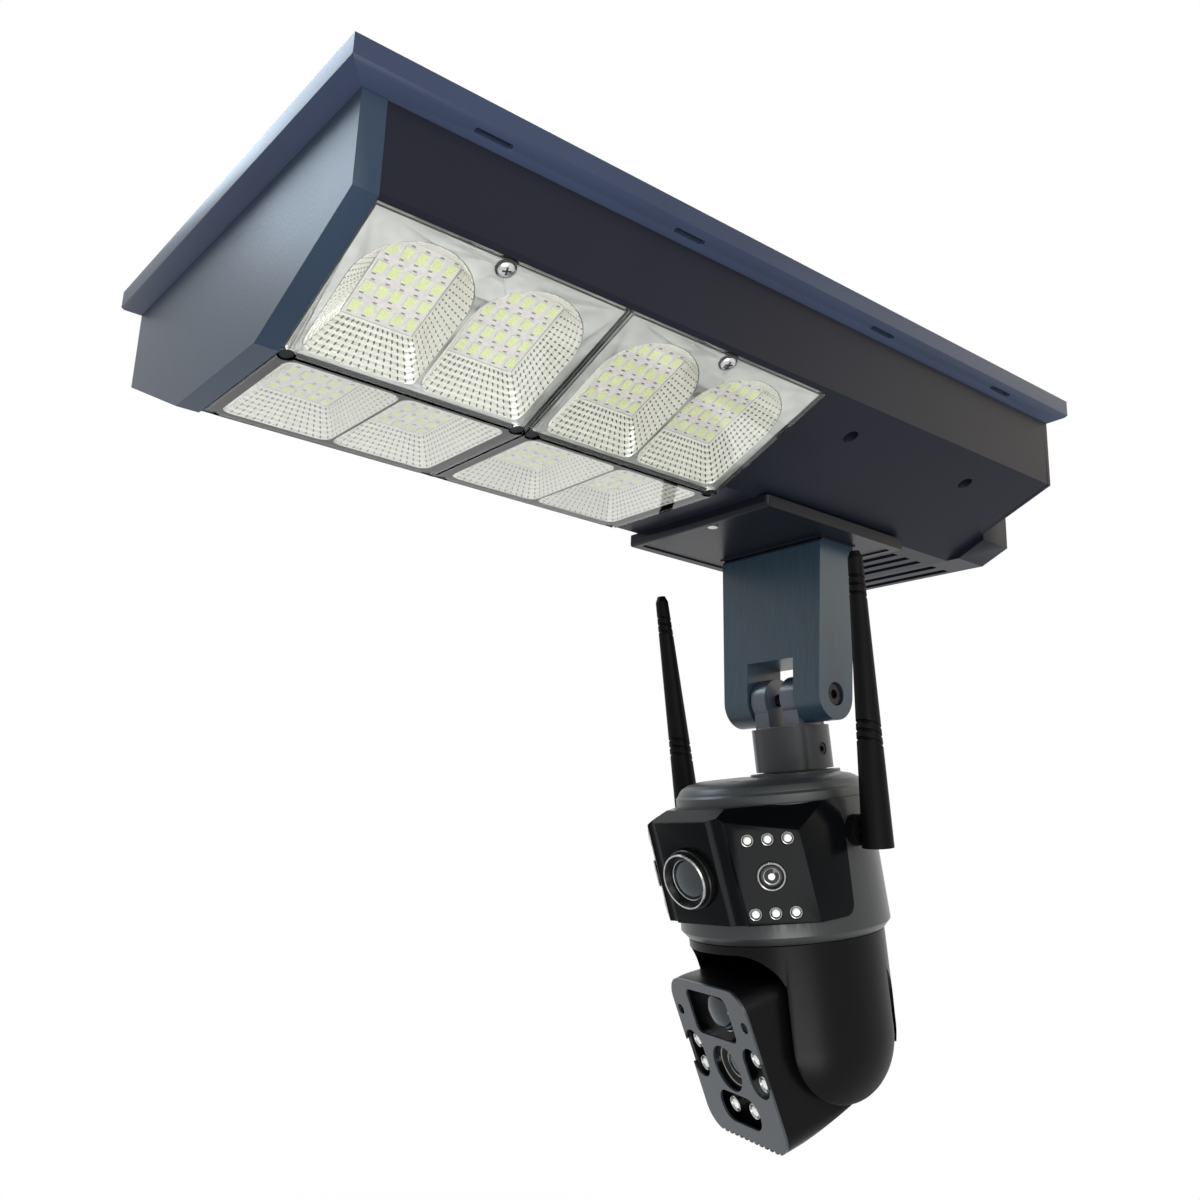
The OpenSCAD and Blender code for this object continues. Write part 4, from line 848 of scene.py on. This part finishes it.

# ---- front lens ----
# The big fixed lens, turned as rings: a black barrel, two bright rims and a
# dark glass. The coating's blue-green tint at a slant is painted into its base colour as a sheen.
coated_glass, coat_tree, coat_shader = new_finish("coated_glass")
coat_shader.inputs["Roughness"].default_value = 0.03
coat_shader.inputs["Specular IOR Level"].default_value = 0.6
# painted sheen: the base colour lightens from near black to blue-green towards a slant, following the Layer
# Weight's facing
coat_painted_sheen = coat_tree.nodes.new("ShaderNodeLayerWeight")
coat_painted_sheen.inputs["Blend"].default_value = 0.35
coat_dark_and_sheen_tones = ((0.004, 0.005, 0.007), (0.03, 0.05, 0.06))
between_tones(coat_tree, coat_shader, coat_painted_sheen.outputs["Facing"], coat_dark_and_sheen_tones, (0.0, 1.0))
bright_ring = turned_metal("bright_ring", (0.48, 0.49, 0.48), 0.24)
ring_black = turned_metal("ring_black", (0.010, 0.010, 0.011), 0.3, metal=0.5, gloss=0.3)
lathed_set(
    "front_lens_assembly", "front_lens", middle_of("upper_body"),
    [
        (0, [(0, -16), (17.4, -16), (17.4, -4.6), (16.9, -4.0), (16.2, -4.0), (16.2, -0.9)]),
        (1, [(16.2, -0.9), (15.7, 0.0), (15.0, -0.3)]),
        (0, [(15.0, -0.3), (13.2, -3.2), (12.9, -4.2), (12.2, -4.2)]),
        (1, [(12.2, -4.2), (11.9, -4.0), (11.6, -4.2)]),
        (2, [(11.6, -4.2), (10.0, -3.1), (7.5, -2.0), (4.0, -1.2), (0, -0.9)]),
    ],
    (ring_black, bright_ring, coated_glass), "camera"
)

# ---- side lenses ----
# A smaller lens in each side face, with two bright rims and a pale dome at
# its middle.
epoxy_dome = plain_finish("epoxy_dome", (0.88, 0.88, 0.82), 0.08, speck=0.10, grain=1500.0)
lathed_set(
    "side_lens_assemblies", "side_lenses", middle_of("upper_body"),
    [
        (0, [(0, -7), (8.0, -7), (8.0, -0.5)]),
        (1, [(8.0, -0.5), (7.6, 0.0), (7.0, -0.4)]),
        (0, [(7.0, -0.4), (5.6, -1.7), (5.0, -1.7)]),
        (1, [(5.0, -1.7), (4.6, -1.3), (4.1, -1.6)]),
        (2, [(4.1, -1.6), (3.0, -1.0), (1.9, -0.8)]),
        (3, [(1.9, -0.8), (1.3, -0.3), (0, 0.0)]),
    ],
    (ring_black, bright_ring, coated_glass, epoxy_dome), "camera"
)

# ---- block LEDs ----
# Three white LEDs above and three below each side lens: a bright rim, a black
# ring and a pale resin dome.
lathed_set(
    "block_led_domes", "block_leds", middle_of("upper_body"),
    [
        (0, [(0, -3.3), (3.6, -3.3), (3.6, -0.4), (3.3, 0.0), (2.9, -0.2)]),
        (1, [(2.9, -0.2), (2.5, -1.0), (2.3, -1.0)]),
        (2, [(2.3, -1.0), (2.0, -0.3), (1.4, 0.2), (0.7, 0.45), (0, 0.5)]),
    ],
    (bright_ring, ring_black, epoxy_dome), "camera"
)

# ---- antennas ----
# Two stiff tapering aerials of matt black rubbery plastic, each on a pin that
# turns in a mount on the body's side.
antenna_black = moulded("antenna_black", (0.0035, 0.0035, 0.004), 0.45, 1500.0, 0.02, gloss=0.06)
dress("antenna_mounts", antenna_black)
broken_edges("antenna_near", "antenna_near", antenna_black, 0.3)
broken_edges("antenna_far", "antenna_far", antenna_black, 0.3)

# ---- panning body ----
# The rounded black shell that turns below the skirt and holds the head
# between its cheeks.
pan_black = moulded("pan_black", (0.0025, 0.0025, 0.003), 0.30, 1500.0, 0.01, gloss=0.10)
broken_edges("pan_body", "pan", pan_black, 0.5)

# ---- head shell ----
# The black shell that tilts in the body's slot, of the same plastic. It holds
# the carrier and the lenses.
broken_edges("head_shell", "head", pan_black, 0.6)

# ---- head face ----
# The blue-grey plate that closes the head, with a window for each lens and
# each pair of LEDs, and ribs at the chin.
face_plate = moulded("face_plate", (0.020, 0.026, 0.031), 0.26, 1300.0, 0.01, gloss=0.6)
broken_edges("head_face", "head", face_plate, 0.5)

# ---- head carrier ----
# The black plate behind the face that the lenses and the LEDs stand on. It
# shows as the dark ground in the face's windows.
dress("head_carrier", plain_finish("carrier_black", (0.006, 0.006, 0.007), 0.5))

# ---- zoom lens ----
# A wide dark dome in a black barrel with a bright rim, at the top of the
# head's face.
lathed_set(
    "zoom_lens_assembly", "zoom_lens", middle_of("head_shell"),
    [
        (0, [(0, -9.8), (13.4, -9.8), (13.4, -6.6)]),
        (1, [(13.4, -6.6), (13.0, -6.1), (12.4, -6.3)]),
        (2, [(12.4, -6.3), (11.4, -3.8), (9.0, -1.7), (5.2, -0.4), (0, 0)]),
    ],
    (ring_black, bright_ring, coated_glass), "head"
)

# ---- head lens ----
# The lens in the face's round window: a black barrel, two dull silver rims
# and a coated glass.
silver_cup = turned_metal("silver_cup", (0.32, 0.31, 0.28), 0.3)
lathed_set(
    "head_lens_assembly", "head_lens", middle_of("head_shell"),
    [
        (0, [(0, -7.4), (12.6, -7.4), (12.6, -0.6)]),
        (1, [(12.6, -0.6), (12.2, 0.0), (11.5, -0.3)]),
        (0, [(11.5, -0.3), (9.6, -2.4), (8.6, -2.4)]),
        (1, [(8.6, -2.4), (8.2, -2.0), (7.8, -2.3)]),
        (2, [(7.8, -2.3), (6.0, -1.2), (3.2, -0.5), (0, -0.3)]),
    ],
    (ring_black, silver_cup, coated_glass), "head"
)

# ---- head LEDs ----
# Six LEDs in the face's three slots: a bright rim, a dull silver cup and a
# pale resin dome.
lathed_set(
    "head_led_domes", "head_leds", middle_of("head_shell"),
    [
        (0, [(0, -9.4), (4.8, -9.4), (4.8, -0.6), (4.4, -0.2), (4.0, -0.5)]),
        (1, [(4.0, -0.5), (3.5, -1.6), (3.2, -1.6)]),
        (2, [(3.2, -1.6), (2.8, -0.6), (1.9, -0.1), (0.9, 0.0), (0, 0.0)]),
    ],
    (bright_ring, silver_cup, epoxy_dome), "head"
)
